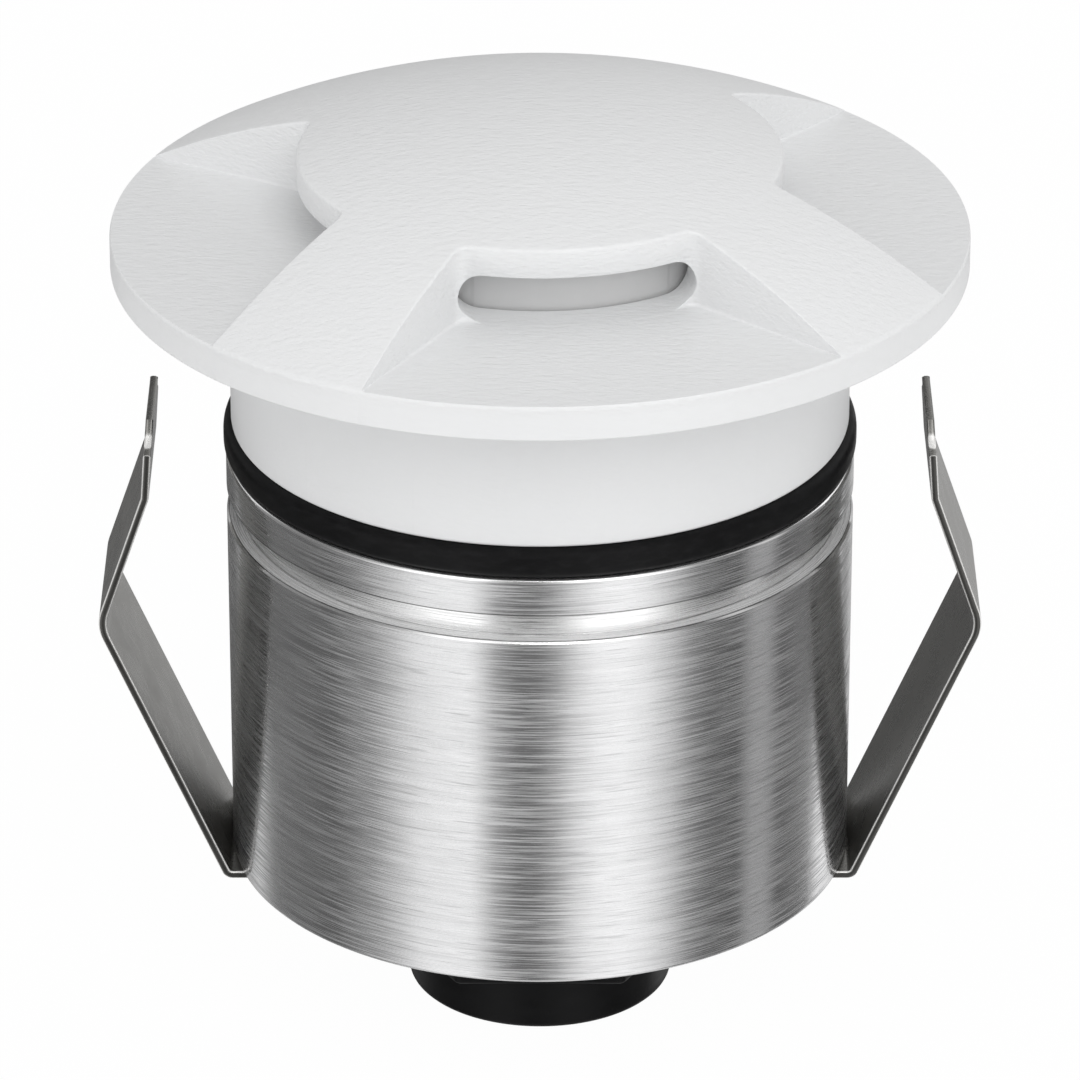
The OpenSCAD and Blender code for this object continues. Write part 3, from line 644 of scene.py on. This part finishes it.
def window_cutter(head, turn):
    """A bar with round ends, along the window's centre line, that cuts one window through its wall."""
    end, steps = head.window_h / 2, 22
    flat = head.window_half - end
    section = [(side * flat + end * cos(at), head.floor_z + end + end * sin(at))
               for side, first in ((1, -pi / 2), (-1, pi / 2))
               for at in (first + pi * step / steps for step in range(steps + 1))]
    out, aside = Vector((cos(turn), sin(turn), 0)), Vector((-sin(turn), cos(turn), 0))
    near, far = 11.6 * MM, head.wall_r + 1.2 * MM
    return extruded("window_cutter", [out * near + aside * across + Vector((0, 0, height))
                                      for across, height in section], out * (far - near))


def all_at(edge, level):
    """Whether both ends of an edge are at a height."""
    return all(abs(vertex.co.z - level) < NEAR for vertex in edge.verts)


def build_head(head):
    """The white head. Its top is cut, rounded and gridded while flat, then raised to the dome. The rim,
    skirt and spigot are then drawn down from its edge."""
    rise = head.crown_z - head.floor_z
    dome_r = (head.flange_r ** 2 + rise ** 2) / (2 * rise)
    dome_z = head.crown_z - dome_r

    def dome(radius):
        return dome_z + sqrt(dome_r ** 2 - radius ** 2)

    flat_z = dome(head.wall_r)
    arc_r = head.flange_r - head.rim_round
    rim_z = dome_z + sqrt((dome_r - head.rim_round) ** 2 - arc_r ** 2)
    edge_r = arc_r * dome_r / (dome_r - head.rim_round)
    # The chamber above the shoulder holds the light guide, and its roof stands above the windows
    chamber_r, chamber_z = head.wall_r - head.wall, head.floor_z + head.window_h + 0.9 * MM
    shoulder_z = 1.1 * MM
    round_steps = 240

    piece = start("cylinder", "head", vertices=round_steps, radius=edge_r, depth=flat_z - shoulder_z,
                  location=(0, 0, (flat_z + shoulder_z) / 2), end_fill_type="NGON")
    piece.data.materials.append(bpy.data.materials.new("coat_mark"))
    chamber = start("cylinder", "chamber_cutter", vertices=round_steps, radius=chamber_r, depth=chamber_z,
                    location=(0, 0, chamber_z / 2), end_fill_type="NGON")
    cut_away(piece, chamber, "chamber_mark")
    plan, above = recess_plan(head), flat_z + 2 * MM
    for turn in window_turns(head):
        cutter = prism("recess_cutter", turned_plan(plan, turn), head.floor_z, above)
        cut_away(piece, cutter, "recess_mark")

    def marks(edge):
        """The cuts that the faces beside an edge come from."""
        names = [material.name if material else "" for material in piece.data.materials]
        return [names[face.material_index] for face in edge.link_faces]

    def top_edge(edge):
        return marks(edge).count("recess_mark") == 1 and all_at(edge, flat_z)

    def floor_edge(edge):
        return (set(marks(edge)) <= {"recess_mark"} and all_at(edge, head.floor_z)
                and sum(abs(face.normal.z) > 0.9 for face in edge.link_faces) == 1)

    def window_edge(edge):
        return (sorted(marks(edge)) == ["recess_mark", "window_mark"]
                and edge.calc_face_angle(0) > radians(50)
                and max(vertex.co.z for vertex in edge.verts) > head.floor_z + 0.4 * MM)

    def soften(test, size, segments):
        enter(piece)
        if not pick(piece, "edges", test):
            raise RuntimeError("an edge of the head's recesses is missing")
        bevel(size, segments, clamp_overlap=False, material=-1)
        leave()

    tidy(piece, 4e-6)
    soften(top_edge, head.edge, 3)
    soften(floor_edge, head.foot, 4)
    for turn in window_turns(head):
        cut_away(piece, window_cutter(head, turn), "window_mark")
    tidy(piece, 4e-6)
    window_round = 0.06 * MM
    soften(window_edge, window_round, 2)
    enter(piece)

    # Grid the top, so that it can follow the dome. No line of the grid crosses the light's axis
    cell, aside = 1.1 * MM, 0.37
    half_cells = ceil(edge_r / cell)
    for normal in ((1, 0, 0), (0, 1, 0)):
        for line in range(-half_cells, half_cells + 1):
            bpy.ops.mesh.select_all(action="SELECT")
            bpy.ops.mesh.bisect(plane_co=Vector(normal) * (line + aside) * cell, plane_no=normal)

    # Open the flat piece below and at its side, where the skin is drawn on
    def beside(part):
        return all(hypot(*vertex.co.xy) > edge_r - 0.06 * MM for vertex in part.verts)

    def below(face):
        return face.normal.z < -0.9 and face.calc_center_median().z < shoulder_z + 10 * NEAR

    bpy.ops.mesh.select_mode(type="FACE")
    pick(piece, "faces", lambda face: below(face) or (abs(face.normal.z) < 0.1 and beside(face)))
    bpy.ops.mesh.delete(type="FACE")

    def raised(co):
        """Lifts the flat top to the dome. The recess floors and the chamber stay as they are."""
        radius = hypot(co.x, co.y)
        in_chamber = radius < head.wall_r - 0.05 * MM and co.z < flat_z - head.edge * 1.5
        if co.z <= head.floor_z or in_chamber:
            return co
        scale = (dome(min(radius, edge_r)) - head.floor_z) / (flat_z - head.floor_z)
        return Vector((co.x, co.y, head.floor_z + (co.z - head.floor_z) * scale))

    bpy.ops.mesh.select_mode(type="VERT")
    bpy.ops.mesh.select_all(action="SELECT")
    move_picked(piece, raised)

    # Draw the edge down round the rim, under the flange, down the skirt and spigot, and up inside
    skirt_r, spigot_r, bore_r = 21.8 * MM, 20.3 * MM, 18.6 * MM
    skirt_z, spigot_z = -11.9 * MM, -24 * MM
    first, rim_steps = asin((dome(edge_r) - rim_z) / head.rim_round), 10
    path = []
    for step in range(1, rim_steps + 1):
        turn = first * (1 - step / rim_steps)
        path.append((arc_r + head.rim_round * cos(turn), rim_z + head.rim_round * sin(turn)))
    lower = rounded([
        (head.flange_r, rim_z, 0), (head.flange_r, 0, 0.15 * MM), (skirt_r, 0, 0.3 * MM),
        (skirt_r, skirt_z, 0.25 * MM), (spigot_r, skirt_z, 0), (spigot_r, spigot_z, 0.3 * MM),
        (bore_r, spigot_z, 0.3 * MM), (bore_r, shoulder_z, 0), (chamber_r + 0.2 * MM, shoulder_z, 0)], 4)
    path += lower[1:]
    bpy.ops.mesh.select_mode(type="EDGE")
    pick(piece, "edges", lambda edge: edge.is_boundary and beside(edge))
    for radius, height in path:
        bpy.ops.mesh.extrude_edges_move(TRANSFORM_OT_translate={"value": (0, 0, 0)})

        def drawn(co, radius=radius, height=height):
            scale = radius / hypot(co.x, co.y)
            on_rim = height > 0 and radius > arc_r
            return Vector((co.x * scale, co.y * scale, min(co.z, height) if on_rim else height))

        move_picked(piece, drawn)
    bpy.ops.mesh.select_mode(type="EDGE")
    pick(piece, "edges", lambda edge: edge.is_boundary)
    bpy.ops.mesh.bridge_edge_loops()
    leave()
    tidy(piece, 3e-6)
    finish_piece(piece, powder_coat(head), 40)
    seat(piece, "cap")


def build_light_guide(head):
    """The frosted ring behind the windows, with a raised pad in each one."""
    outer, inner, rim_r = head.guide_r, head.guide_r - 1.5 * MM, 18.5 * MM
    low, rim_z, top = -0.7 * MM, 0.5 * MM, 6.75 * MM
    relief, top_round = 0.1 * MM, 0.15 * MM
    piece = turned_ring("light_guide_ring", rounded([
        (inner, low, 0), (rim_r, low, 0.1 * MM), (rim_r, rim_z, 0.1 * MM), (outer, rim_z, 0),
        (outer, top, top_round), (inner, top, top_round)], 3), 720)
    pad = asin((head.window_half - head.window_h / 2 + 0.3 * MM) / outer)
    for vertex in piece.data.vertices:
        radius = hypot(vertex.co.x, vertex.co.y)
        if vertex.co.z > rim_z + 0.1 * MM and radius > outer - top_round - 0.01 * MM:
            turn = atan2(vertex.co.y, vertex.co.x)
            away = min(abs((turn - centre + pi) % (2 * pi) - pi) for centre in window_turns(head))
            if away > pad:
                vertex.co.xy *= 1 - relief / radius
    finish_piece(piece, frosted_plastic(head), 30)
    seat(piece, "light_guide")


def build_seal(body):
    """The black ring squeezed between head and body."""
    inner, outer, edge = body.body_r - body.wall, RING_HIGH.x, 0.8 * MM
    piece = turned_ring("seal_ring", rounded([
        (inner, RING_LOW.z, 0), (outer, RING_LOW.z, edge), (outer, RING_HIGH.z, edge),
        (inner, RING_HIGH.z, 0)], 8))
    finish_piece(piece, seal_rubber(body), 40)
    seat(piece, "cap_gasket")


def build_steel_body(body):
    """The turned steel cup, with a groove near its top and a broken edge under the groove."""
    low, top = STEEL_LOW.z, STEEL_HIGH.z
    inner, floor = body.body_r - body.wall, low + body.bottom
    groove_top = top - body.groove_top
    groove_low = groove_top - body.groove_h
    deep = body.body_r - body.groove_deep
    hole_r, broken = 8 * MM, 0.2 * MM
    fine, groove_round = 0.06 * MM, 0.12 * MM
    piece = turned_ring("steel_body", rounded([
        (hole_r, low, fine), (body.body_r, low, body.edge), (body.body_r, groove_low - broken, fine),
        (body.body_r - broken, groove_low, fine), (deep, groove_low, groove_round),
        (deep, groove_top, groove_round), (body.body_r, groove_top, fine), (body.body_r, top, body.edge),
        (inner, top, 0.15 * MM), (inner, floor, 0.5 * MM), (hole_r, floor, fine)], 5), 320)
    finish_piece(piece, brushed_steel(body), 40)
    seat(piece, "housing")


class StripPath:
    """The middle line of a clip's strip on the +X side, as straight stretches and bends."""

    def __init__(self, clips):
        foot_x, lower_leg, upper_leg, tip = 12.6 * MM, 20.35 * MM, 9.25 * MM, 4.95 * MM
        root_r, elbow_r, tip_r = 0.3 * MM, 3.2 * MM, 0.8 * MM
        half_t = clips.strip_t / 2
        # Each stretch has a length, or a radius on the middle line and a turn to the left in degrees
        self.stretches = [
            (CLIP_ROOT_X - foot_x, 0), (root_r + half_t, 66.6), (lower_leg, 0), (elbow_r - half_t, 42.3),
            (upper_leg, 0), (tip_r + half_t, -15), (tip, 0)]
        self.marks, self.starts = [0.0], []
        at, heading = Vector((foot_x, STEEL_LOW.z - half_t)), 0.0
        for size, turn in self.stretches:
            self.starts.append((at, heading))
            reach = size * radians(abs(turn)) if turn else size
            at, heading = self.step(at, heading, size, turn, reach)
            self.marks.append(self.marks[-1] + reach)

    @staticmethod
    def step(at, heading, size, turn, reach):
        """Where a stretch has come to after some of its length, and its heading there."""
        if not turn:
            return at + Vector((cos(heading), sin(heading))) * reach, heading
        inward = size if turn > 0 else -size
        centre = at + Vector((-sin(heading), cos(heading))) * inward
        heading += reach / inward
        return centre - Vector((-sin(heading), cos(heading))) * inward, heading

    def place(self, along, across):
        """Where a point of the flat strip lies: along its length, and across its thickness."""
        index = max(0, min(len(self.stretches) - 1, sum(mark <= along for mark in self.marks) - 1))
        at, heading = self.step(*self.starts[index], *self.stretches[index], along - self.marks[index])
        return at + Vector((-sin(heading), cos(heading))) * across

    def cuts(self):
        """Where the strip is divided so that its bends come out round, every 3 degrees."""
        places = []
        for (_, turn), low, high in zip(self.stretches, self.marks, self.marks[1:]):
            steps = max(1, ceil(abs(turn) / 3))
            places += [low + (high - low) * step / steps for step in range(steps)]
        return places[1:]


def build_clip(clips, material, side):
    """One clip in two pieces that meet in the middle of the lower leg: the strip is cut out flat, its
    edges are rounded, and it is bent along its path."""
    path = StripPath(clips)
    end = path.marks[-1]
    split = (path.marks[2] + path.marks[3]) / 2
    half_w, half_tab, hollow = clips.strip_w / 2, clips.tab_w / 2, clips.hollow
    shoulder, steps = end - clips.tab_h, 8
    # The hollow corner starts beside the tab's shoulder and ends on the tab's side
    arc = [(shoulder + hollow - hollow * cos(turn), half_tab + hollow - hollow * sin(turn))
           for turn in (pi / 2 * step / steps for step in range(steps + 1))]
    upper_side = [(split, half_w), (shoulder, half_w)] + arc + [(end, half_tab)]
    plans = {
        "lower": [(0, half_w), (0, -half_w), (split, -half_w), (split, half_w)],
        "upper": upper_side + [(x, -y) for x, y in reversed(upper_side)],
    }
    word = "right" if side > 0 else "left"
    for half, plan in plans.items():
        piece = prism(f"clip_{half}_{word}_strip", plan, -clips.strip_t / 2, clips.strip_t / 2)
        enter(piece)
        pick(piece, "edges", lambda edge: all_at(edge, edge.verts[0].co.z)
             and any(abs(vertex.co.x - split) > NEAR for vertex in edge.verts))
        bevel(clips.edge, 3, clamp_overlap=False)
        for place in path.cuts():
            bpy.ops.mesh.select_all(action="SELECT")
            bpy.ops.mesh.bisect(plane_co=(place, 0, 0), plane_no=(1, 0, 0))
        bpy.ops.mesh.select_mode(type="VERT")
        bpy.ops.mesh.select_all(action="SELECT")

        def bent(co):
            point = path.place(co.x, co.z)
            return Vector((side * point.x, co.y, point.y))

        move_picked(piece, bent)
        leave()
        tidy(piece)
        finish_piece(piece, material, 30)
        if half == "lower":
            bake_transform(piece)
            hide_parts(f"clip_foot_{word}", f"clip_arm_{word}")
        else:
            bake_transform(piece)
            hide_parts(f"clip_tip_{word}")


def build_gland(gland):
    """Hexagon and stem in one piece, and the round nut with its mouth."""
    nylon = black_nylon(gland)
    low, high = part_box("gland_body")
    nut_low, nut_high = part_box("gland_nut")
    hex_z, collar_z = STEEL_LOW.z - 1.2 * MM, nut_high.z + 0.1 * MM
    hexagon = start("cylinder", "gland_hexagon", vertices=6, radius=gland.hex_r, depth=hex_z - collar_z,
                    location=(0, 0, (hex_z + collar_z) / 2), rotation=(0, 0, pi / 6),
                    end_fill_type="NGON")

    def level(edge):
        return all_at(edge, edge.verts[0].co.z)

    enter(hexagon)
    pick(hexagon, "edges", lambda edge: not level(edge))
    bevel(0.35 * MM, 4)
    pick(hexagon, "edges", lambda edge: level(edge) and edge.calc_face_angle(0) > radians(50))
    bevel(0.3 * MM, 3)
    leave()
    seat_r, thread_r, stem_r, bore_r, seat_z = 5.75 * MM, 8.02 * MM, 7.9 * MM, 4.6 * MM, nut_low.z + 9 * MM
    stem = turned_ring("gland_stem", rounded([
        (seat_r, low.z, 0), (thread_r, low.z, 0.2 * MM), (thread_r, collar_z - 0.2 * MM, 0),
        (stem_r, collar_z + 1 * MM, 0), (stem_r, high.z, 0.3 * MM), (bore_r, high.z, 0.2 * MM),
        (bore_r, seat_z, 0), (seat_r, seat_z, 0)], 3), 96)
    hole = start("cylinder", "bore_cutter", vertices=96, radius=7 * MM, depth=10 * MM,
                 location=(0, 0, collar_z))
    cut_away(hexagon, hole, "bore_mark")
    join(hexagon, stem)
    finish_piece(hexagon, nylon, 35)
    seat(hexagon, "gland_body")

    mouth_r, inside_r, inside_z = 4.4 * MM, 8.12 * MM, nut_low.z + 0.9 * MM
    nut = turned_ring("gland_round_nut", rounded([
        (mouth_r, nut_low.z, 0.35 * MM), (gland.nut_r, nut_low.z, 0.45 * MM),
        (gland.nut_r, nut_high.z, 0.2 * MM), (inside_r, nut_high.z, 0.1 * MM), (inside_r, inside_z, 0),
        (mouth_r, inside_z, 0)], 5), 192)
    finish_piece(nut, nylon, 35)
    seat(nut, "gland_nut")


def dress_inner_nodes(gland):
    """Gives each CAD node that stays its finish."""
    rows = [
        # Nodes, name of the finish, light and dark tone, grain and bump in mm, roughness, metal, marks
        (("led_board_screws", "head_screws", "driver_board_screws", "clip_rivets"),
         "fastener_steel", (0.62, 0.62, 0.63), (0.42, 0.42, 0.43), 0.2, 0.004, (0.24, 0.42), 1.0),
        (("window_gasket", "gland_washer", "cable_grommet"),
         "grey_rubber", (0.1, 0.1, 0.1), (0.06, 0.06, 0.06), 0.18, 0.01, (0.6, 0.8)),
        (("standoffs",), "turned_brass", (0.75, 0.56, 0.26), (0.55, 0.38, 0.15), 0.2, 0.004, (0.25, 0.4),
         1.0, (1.2, 1.2, 0.08)),
        (("rectifier", "driver_chip"),
         "black_moulding", (0.035, 0.035, 0.038), (0.018, 0.018, 0.02), 0.12, 0.006),
        (("reflector_cone",), "reflector_white", (0.88, 0.88, 0.86), (0.8, 0.8, 0.78), 0.2, 0.003),
        (("led_board",), "board_white", (0.85, 0.86, 0.83), (0.76, 0.78, 0.75), 0.15, 0.003, (0.3, 0.5)),
        (("led_chips",), "phosphor", (0.9, 0.72, 0.2), (0.78, 0.56, 0.1), 0.08, 0.004, (0.3, 0.5)),
        (("thermal_pad",), "pad_silicone", (0.47, 0.54, 0.62), (0.38, 0.45, 0.53), 0.3, 0.01, (0.7, 0.9)),
        (("heat_sink",), "machined_aluminium", (0.76, 0.77, 0.78), (0.6, 0.61, 0.62), 0.3, 0.004,
         (0.3, 0.45), 1.0, (1.6, 0.07, 1.6)),
        (("driver_board",), "board_green", (0.03, 0.26, 0.1), (0.02, 0.17, 0.06), 0.4, 0.006, (0.2, 0.4)),
        (("inductor",), "copper_winding", (0.55, 0.24, 0.09), (0.3, 0.11, 0.03), 0.2, 0.05, (0.25, 0.4),
         0.4, (3.0, 3.0, 0.14)),
        (("capacitor",), "dark_sleeve", (0.05, 0.06, 0.09), (0.03, 0.035, 0.05), 0.3, 0.004, (0.2, 0.35)),
        (("varistor",), "blue_epoxy", (0.04, 0.16, 0.5), (0.03, 0.1, 0.36), 0.4, 0.02, (0.15, 0.3)),
        (("terminal_block",), "green_moulding", (0.05, 0.36, 0.2), (0.03, 0.26, 0.14), 0.15, 0.006),
        (("led_leads",), "red_insulation", (0.55, 0.05, 0.03), (0.4, 0.03, 0.02), 0.2, 0.005, (0.3, 0.45)),
        (("insulating_liner",), "liner_film", (0.84, 0.8, 0.67), (0.76, 0.72, 0.6), 0.5, 0.004, (0.3, 0.5)),
    ]
    finishes = [(nodes, plain_finish(*finish)) for nodes, *finish in rows]
    for nodes, material in [*finishes, (("gland_lock_nut",), black_nylon(gland))]:
        for name in nodes:
            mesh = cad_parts[name].data
            mesh.materials.clear()
            mesh.materials.append(material)


# The stage


def add_lamp(name, place, size, power):
    """A square soft lamp that points at the middle of the piece, with its size and place in metres."""
    clear_selection()
    middle = Vector((0, 0, -0.02))
    direction = middle - Vector(place)
    bpy.ops.object.light_add(type="AREA", location=place,
                             rotation=direction.to_track_quat("-Z", "Y").to_euler())
    lamp = bpy.context.object
    lamp.name = name
    lamp.data.size, lamp.data.energy = size, power


def camera_share(finish):
    """1 for camera, glossy and transmission rays, 0 for the rays that light things."""
    camera, glossy, through = (finish.add("ShaderNodeLightPath", out=f"Is {kind} Ray")
                               for kind in ("Camera", "Glossy", "Transmission"))
    return camera.math("MAXIMUM", glossy).math("MAXIMUM", through)


def build_stage(stage):
    """Camera at the photograph's angle, pale floor that keeps a soft shadow, white surroundings, soft
    lamps, and a ring of light and dark cards that only the metal mirrors."""
    back = Vector((0, -cos(stage.tilt), sin(stage.tilt))) * stage.away
    clear_selection()
    bpy.ops.object.camera_add(location=back + Vector((0, 0, stage.aim_z)),
                              rotation=(pi / 2 - stage.tilt, 0, 0))
    camera = bpy.context.object
    camera.name = "photo_camera"
    sensor_mm, photo_px = 36, 1080
    camera.data.sensor_width = sensor_mm
    camera.data.lens = stage.lens_px / photo_px * sensor_mm
    camera.data.clip_start, camera.data.clip_end = 0.01, 10
    bpy.context.scene.camera = camera

    floor = start("plane", "stage_floor", size=6, location=(0, 0, FLOOR_Z))
    finish = Finish("stage_floor")
    # The small share that doesn't glow shows the light's shadow
    glow_share, pure_white = 0.98, (1, 1, 1, 1)
    lit = finish.add("ShaderNodeBsdfDiffuse", None, {"Color": rgba(stage.floor)})
    white = finish.add("ShaderNodeEmission", None, {"Color": pure_white, "Strength": 1.0})
    shown = camera_share(finish) * glow_share
    both = finish.add("ShaderNodeMixShader", None, {0: shown, 1: lit, 2: white})
    finish.add("ShaderNodeOutputMaterial", None, {"Surface": both})
    floor.data.materials.append(finish.material)
    floor.visible_glossy = False

    world = bpy.context.scene.world or bpy.data.worlds.new("World")
    bpy.context.scene.world = world
    world.use_nodes = True
    finish = Finish("world", world)
    shown = camera_share(finish)
    plain = finish.add("ShaderNodeBackground", None, {"Color": pure_white, "Strength": stage.fill})
    white = finish.add("ShaderNodeBackground", None, {"Color": pure_white, "Strength": 1.0})
    both = finish.add("ShaderNodeMixShader", None, {0: shown, 1: plain, 2: white})
    finish.add("ShaderNodeOutputWorld", None, {"Surface": both})

    # Cards round the light: the tone at each angle in degrees, from the back (-180) round by the left
    # (-90) to the front (0), and on by the right (90) to the back (180)
    tones = [(-180, 0.1), (-150, 0.07), (-141, 0.32), (-126, 0.5), (-116, 0.12), (-80, 0.08), (-63, 0.22),
             (-53, 0.48), (-44, 0.77), (-25, 0.9), (-16, 0.32), (-8, 0.13), (-1, 0.13), (6, 0.3), (12, 0.6),
             (20, 0.85), (29, 0.93), (38, 0.82), (47, 0.56), (55, 0.22), (62, 0.1), (76, 0.06), (83, 0.33),
             (90, 0.31), (97, 0.08), (116, 0.14), (124, 0.75), (134, 0.75), (142, 0.4), (150, 0.2),
             (162, 0.42), (180, 0.16)]
    cards_r, cards_h, cards_z, cards_glow = 0.4, 1.4, -0.1, 1.7
    cards = start("cylinder", "stage_cards", vertices=180, radius=cards_r, depth=cards_h,
                  location=(0, 0, cards_z), end_fill_type="NOTHING")
    finish = Finish("stage_cards")
    turn = finish.axis("X").math("ARCTAN2", finish.axis("Y") * -1)
    tone = finish.add("ShaderNodeValToRGB", {"stops": [((at + 180) / 360, level) for at, level in tones]},
                      {0: turn / (2 * pi) + 0.5})
    glow = finish.add("ShaderNodeEmission", None, {"Color": tone, "Strength": cards_glow})
    finish.add("ShaderNodeOutputMaterial", None, {"Surface": glow})
    cards.data.materials.append(finish.material)
    for kind in ("camera", "diffuse", "transmission", "volume_scatter", "shadow"):
        setattr(cards, f"visible_{kind}", False)

    add_lamp("key_lamp", (0.13, -0.72, 0.69), 0.6, 3.5)
    add_lamp("left_lamp", (-0.8, -0.4, 0.05), 0.5, 1.1)
    add_lamp("right_lamp", (0.8, -0.4, 0.05), 0.5, 1.1)
    bpy.context.scene.view_settings.view_transform = "Standard"


# Operators, panel and registration


class WELLLIGHT_OT_stage(bpy.types.Operator):
    """Set up the camera, floor, cards and lamps"""
    bl_idname = "welllight.stage"
    bl_label = "Stage"

    def execute(self, context):
        build_stage(context.scene.welllight_stage)
        return {"FINISHED"}


class WELLLIGHT_OT_head(bpy.types.Operator):
    """Build the white head with its recesses and windows"""
    bl_idname = "welllight.head"
    bl_label = "Head"

    def execute(self, context):
        build_head(context.scene.welllight_head)
        return {"FINISHED"}


class WELLLIGHT_OT_light_guide(bpy.types.Operator):
    """Build the frosted ring behind the windows"""
    bl_idname = "welllight.light_guide"
    bl_label = "Light guide"

    def execute(self, context):
        build_light_guide(context.scene.welllight_head)
        return {"FINISHED"}


class WELLLIGHT_OT_seal(bpy.types.Operator):
    """Build the black ring between head and body"""
    bl_idname = "welllight.seal"
    bl_label = "Seal ring"

    def execute(self, context):
        build_seal(context.scene.welllight_body)
        return {"FINISHED"}


class WELLLIGHT_OT_steel_body(bpy.types.Operator):
    """Build the brushed steel body"""
    bl_idname = "welllight.steel_body"
    bl_label = "Steel body"

    def execute(self, context):
        build_steel_body(context.scene.welllight_body)
        return {"FINISHED"}


class WELLLIGHT_OT_clips(bpy.types.Operator):
    """Build the two spring clips"""
    bl_idname = "welllight.clips"
    bl_label = "Spring clips"

    def execute(self, context):
        clips = context.scene.welllight_clips
        material = spring_steel(clips)
        for side in (-1, 1):
            build_clip(clips, material, side)
        return {"FINISHED"}


class WELLLIGHT_OT_gland(bpy.types.Operator):
    """Build the black cable gland"""
    bl_idname = "welllight.gland"
    bl_label = "Cable gland"

    def execute(self, context):
        build_gland(context.scene.welllight_gland)
        return {"FINISHED"}


class WELLLIGHT_OT_inner(bpy.types.Operator):
    """Give the inner pieces their finishes"""
    bl_idname = "welllight.inner"
    bl_label = "Inner pieces"

    def execute(self, context):
        dress_inner_nodes(context.scene.welllight_gland)
        return {"FINISHED"}


OPERATORS = (WELLLIGHT_OT_stage, WELLLIGHT_OT_head, WELLLIGHT_OT_light_guide, WELLLIGHT_OT_seal,
             WELLLIGHT_OT_steel_body, WELLLIGHT_OT_clips, WELLLIGHT_OT_gland, WELLLIGHT_OT_inner)
GROUPS = {
    "welllight_head": WELLLIGHT_PG_head, "welllight_body": WELLLIGHT_PG_body,
    "welllight_clips": WELLLIGHT_PG_clips, "welllight_gland": WELLLIGHT_PG_gland,
    "welllight_stage": WELLLIGHT_PG_stage,
}


class WELLLIGHT_PT_panel(bpy.types.Panel):
    """Lists the light's sizes and the operators that build it"""
    bl_label = "Well Light"
    bl_idname = "WELLLIGHT_PT_panel"
    bl_space_type = "VIEW_3D"
    bl_region_type = "UI"
    bl_category = "Well Light"

    def draw(self, context):
        for operator in OPERATORS:
            self.layout.operator(operator.bl_idname)
        for name, group in GROUPS.items():
            box = self.layout.box()
            box.label(text=group.__doc__)
            for key in group.__annotations__:
                box.prop(getattr(context.scene, name), key)


def register():
    for item in (*GROUPS.values(), *OPERATORS, WELLLIGHT_PT_panel):
        bpy.utils.register_class(item)
    for name, group in GROUPS.items():
        setattr(bpy.types.Scene, name, bpy.props.PointerProperty(type=group))


def unregister():
    for name in GROUPS:
        delattr(bpy.types.Scene, name)
    for item in reversed((*GROUPS.values(), *OPERATORS, WELLLIGHT_PT_panel)):
        bpy.utils.unregister_class(item)


def main():
    register()
    for operator in OPERATORS:
        getattr(bpy.ops.welllight, operator.bl_idname.split(".")[1])()


if __name__ == "__main__":
    main()
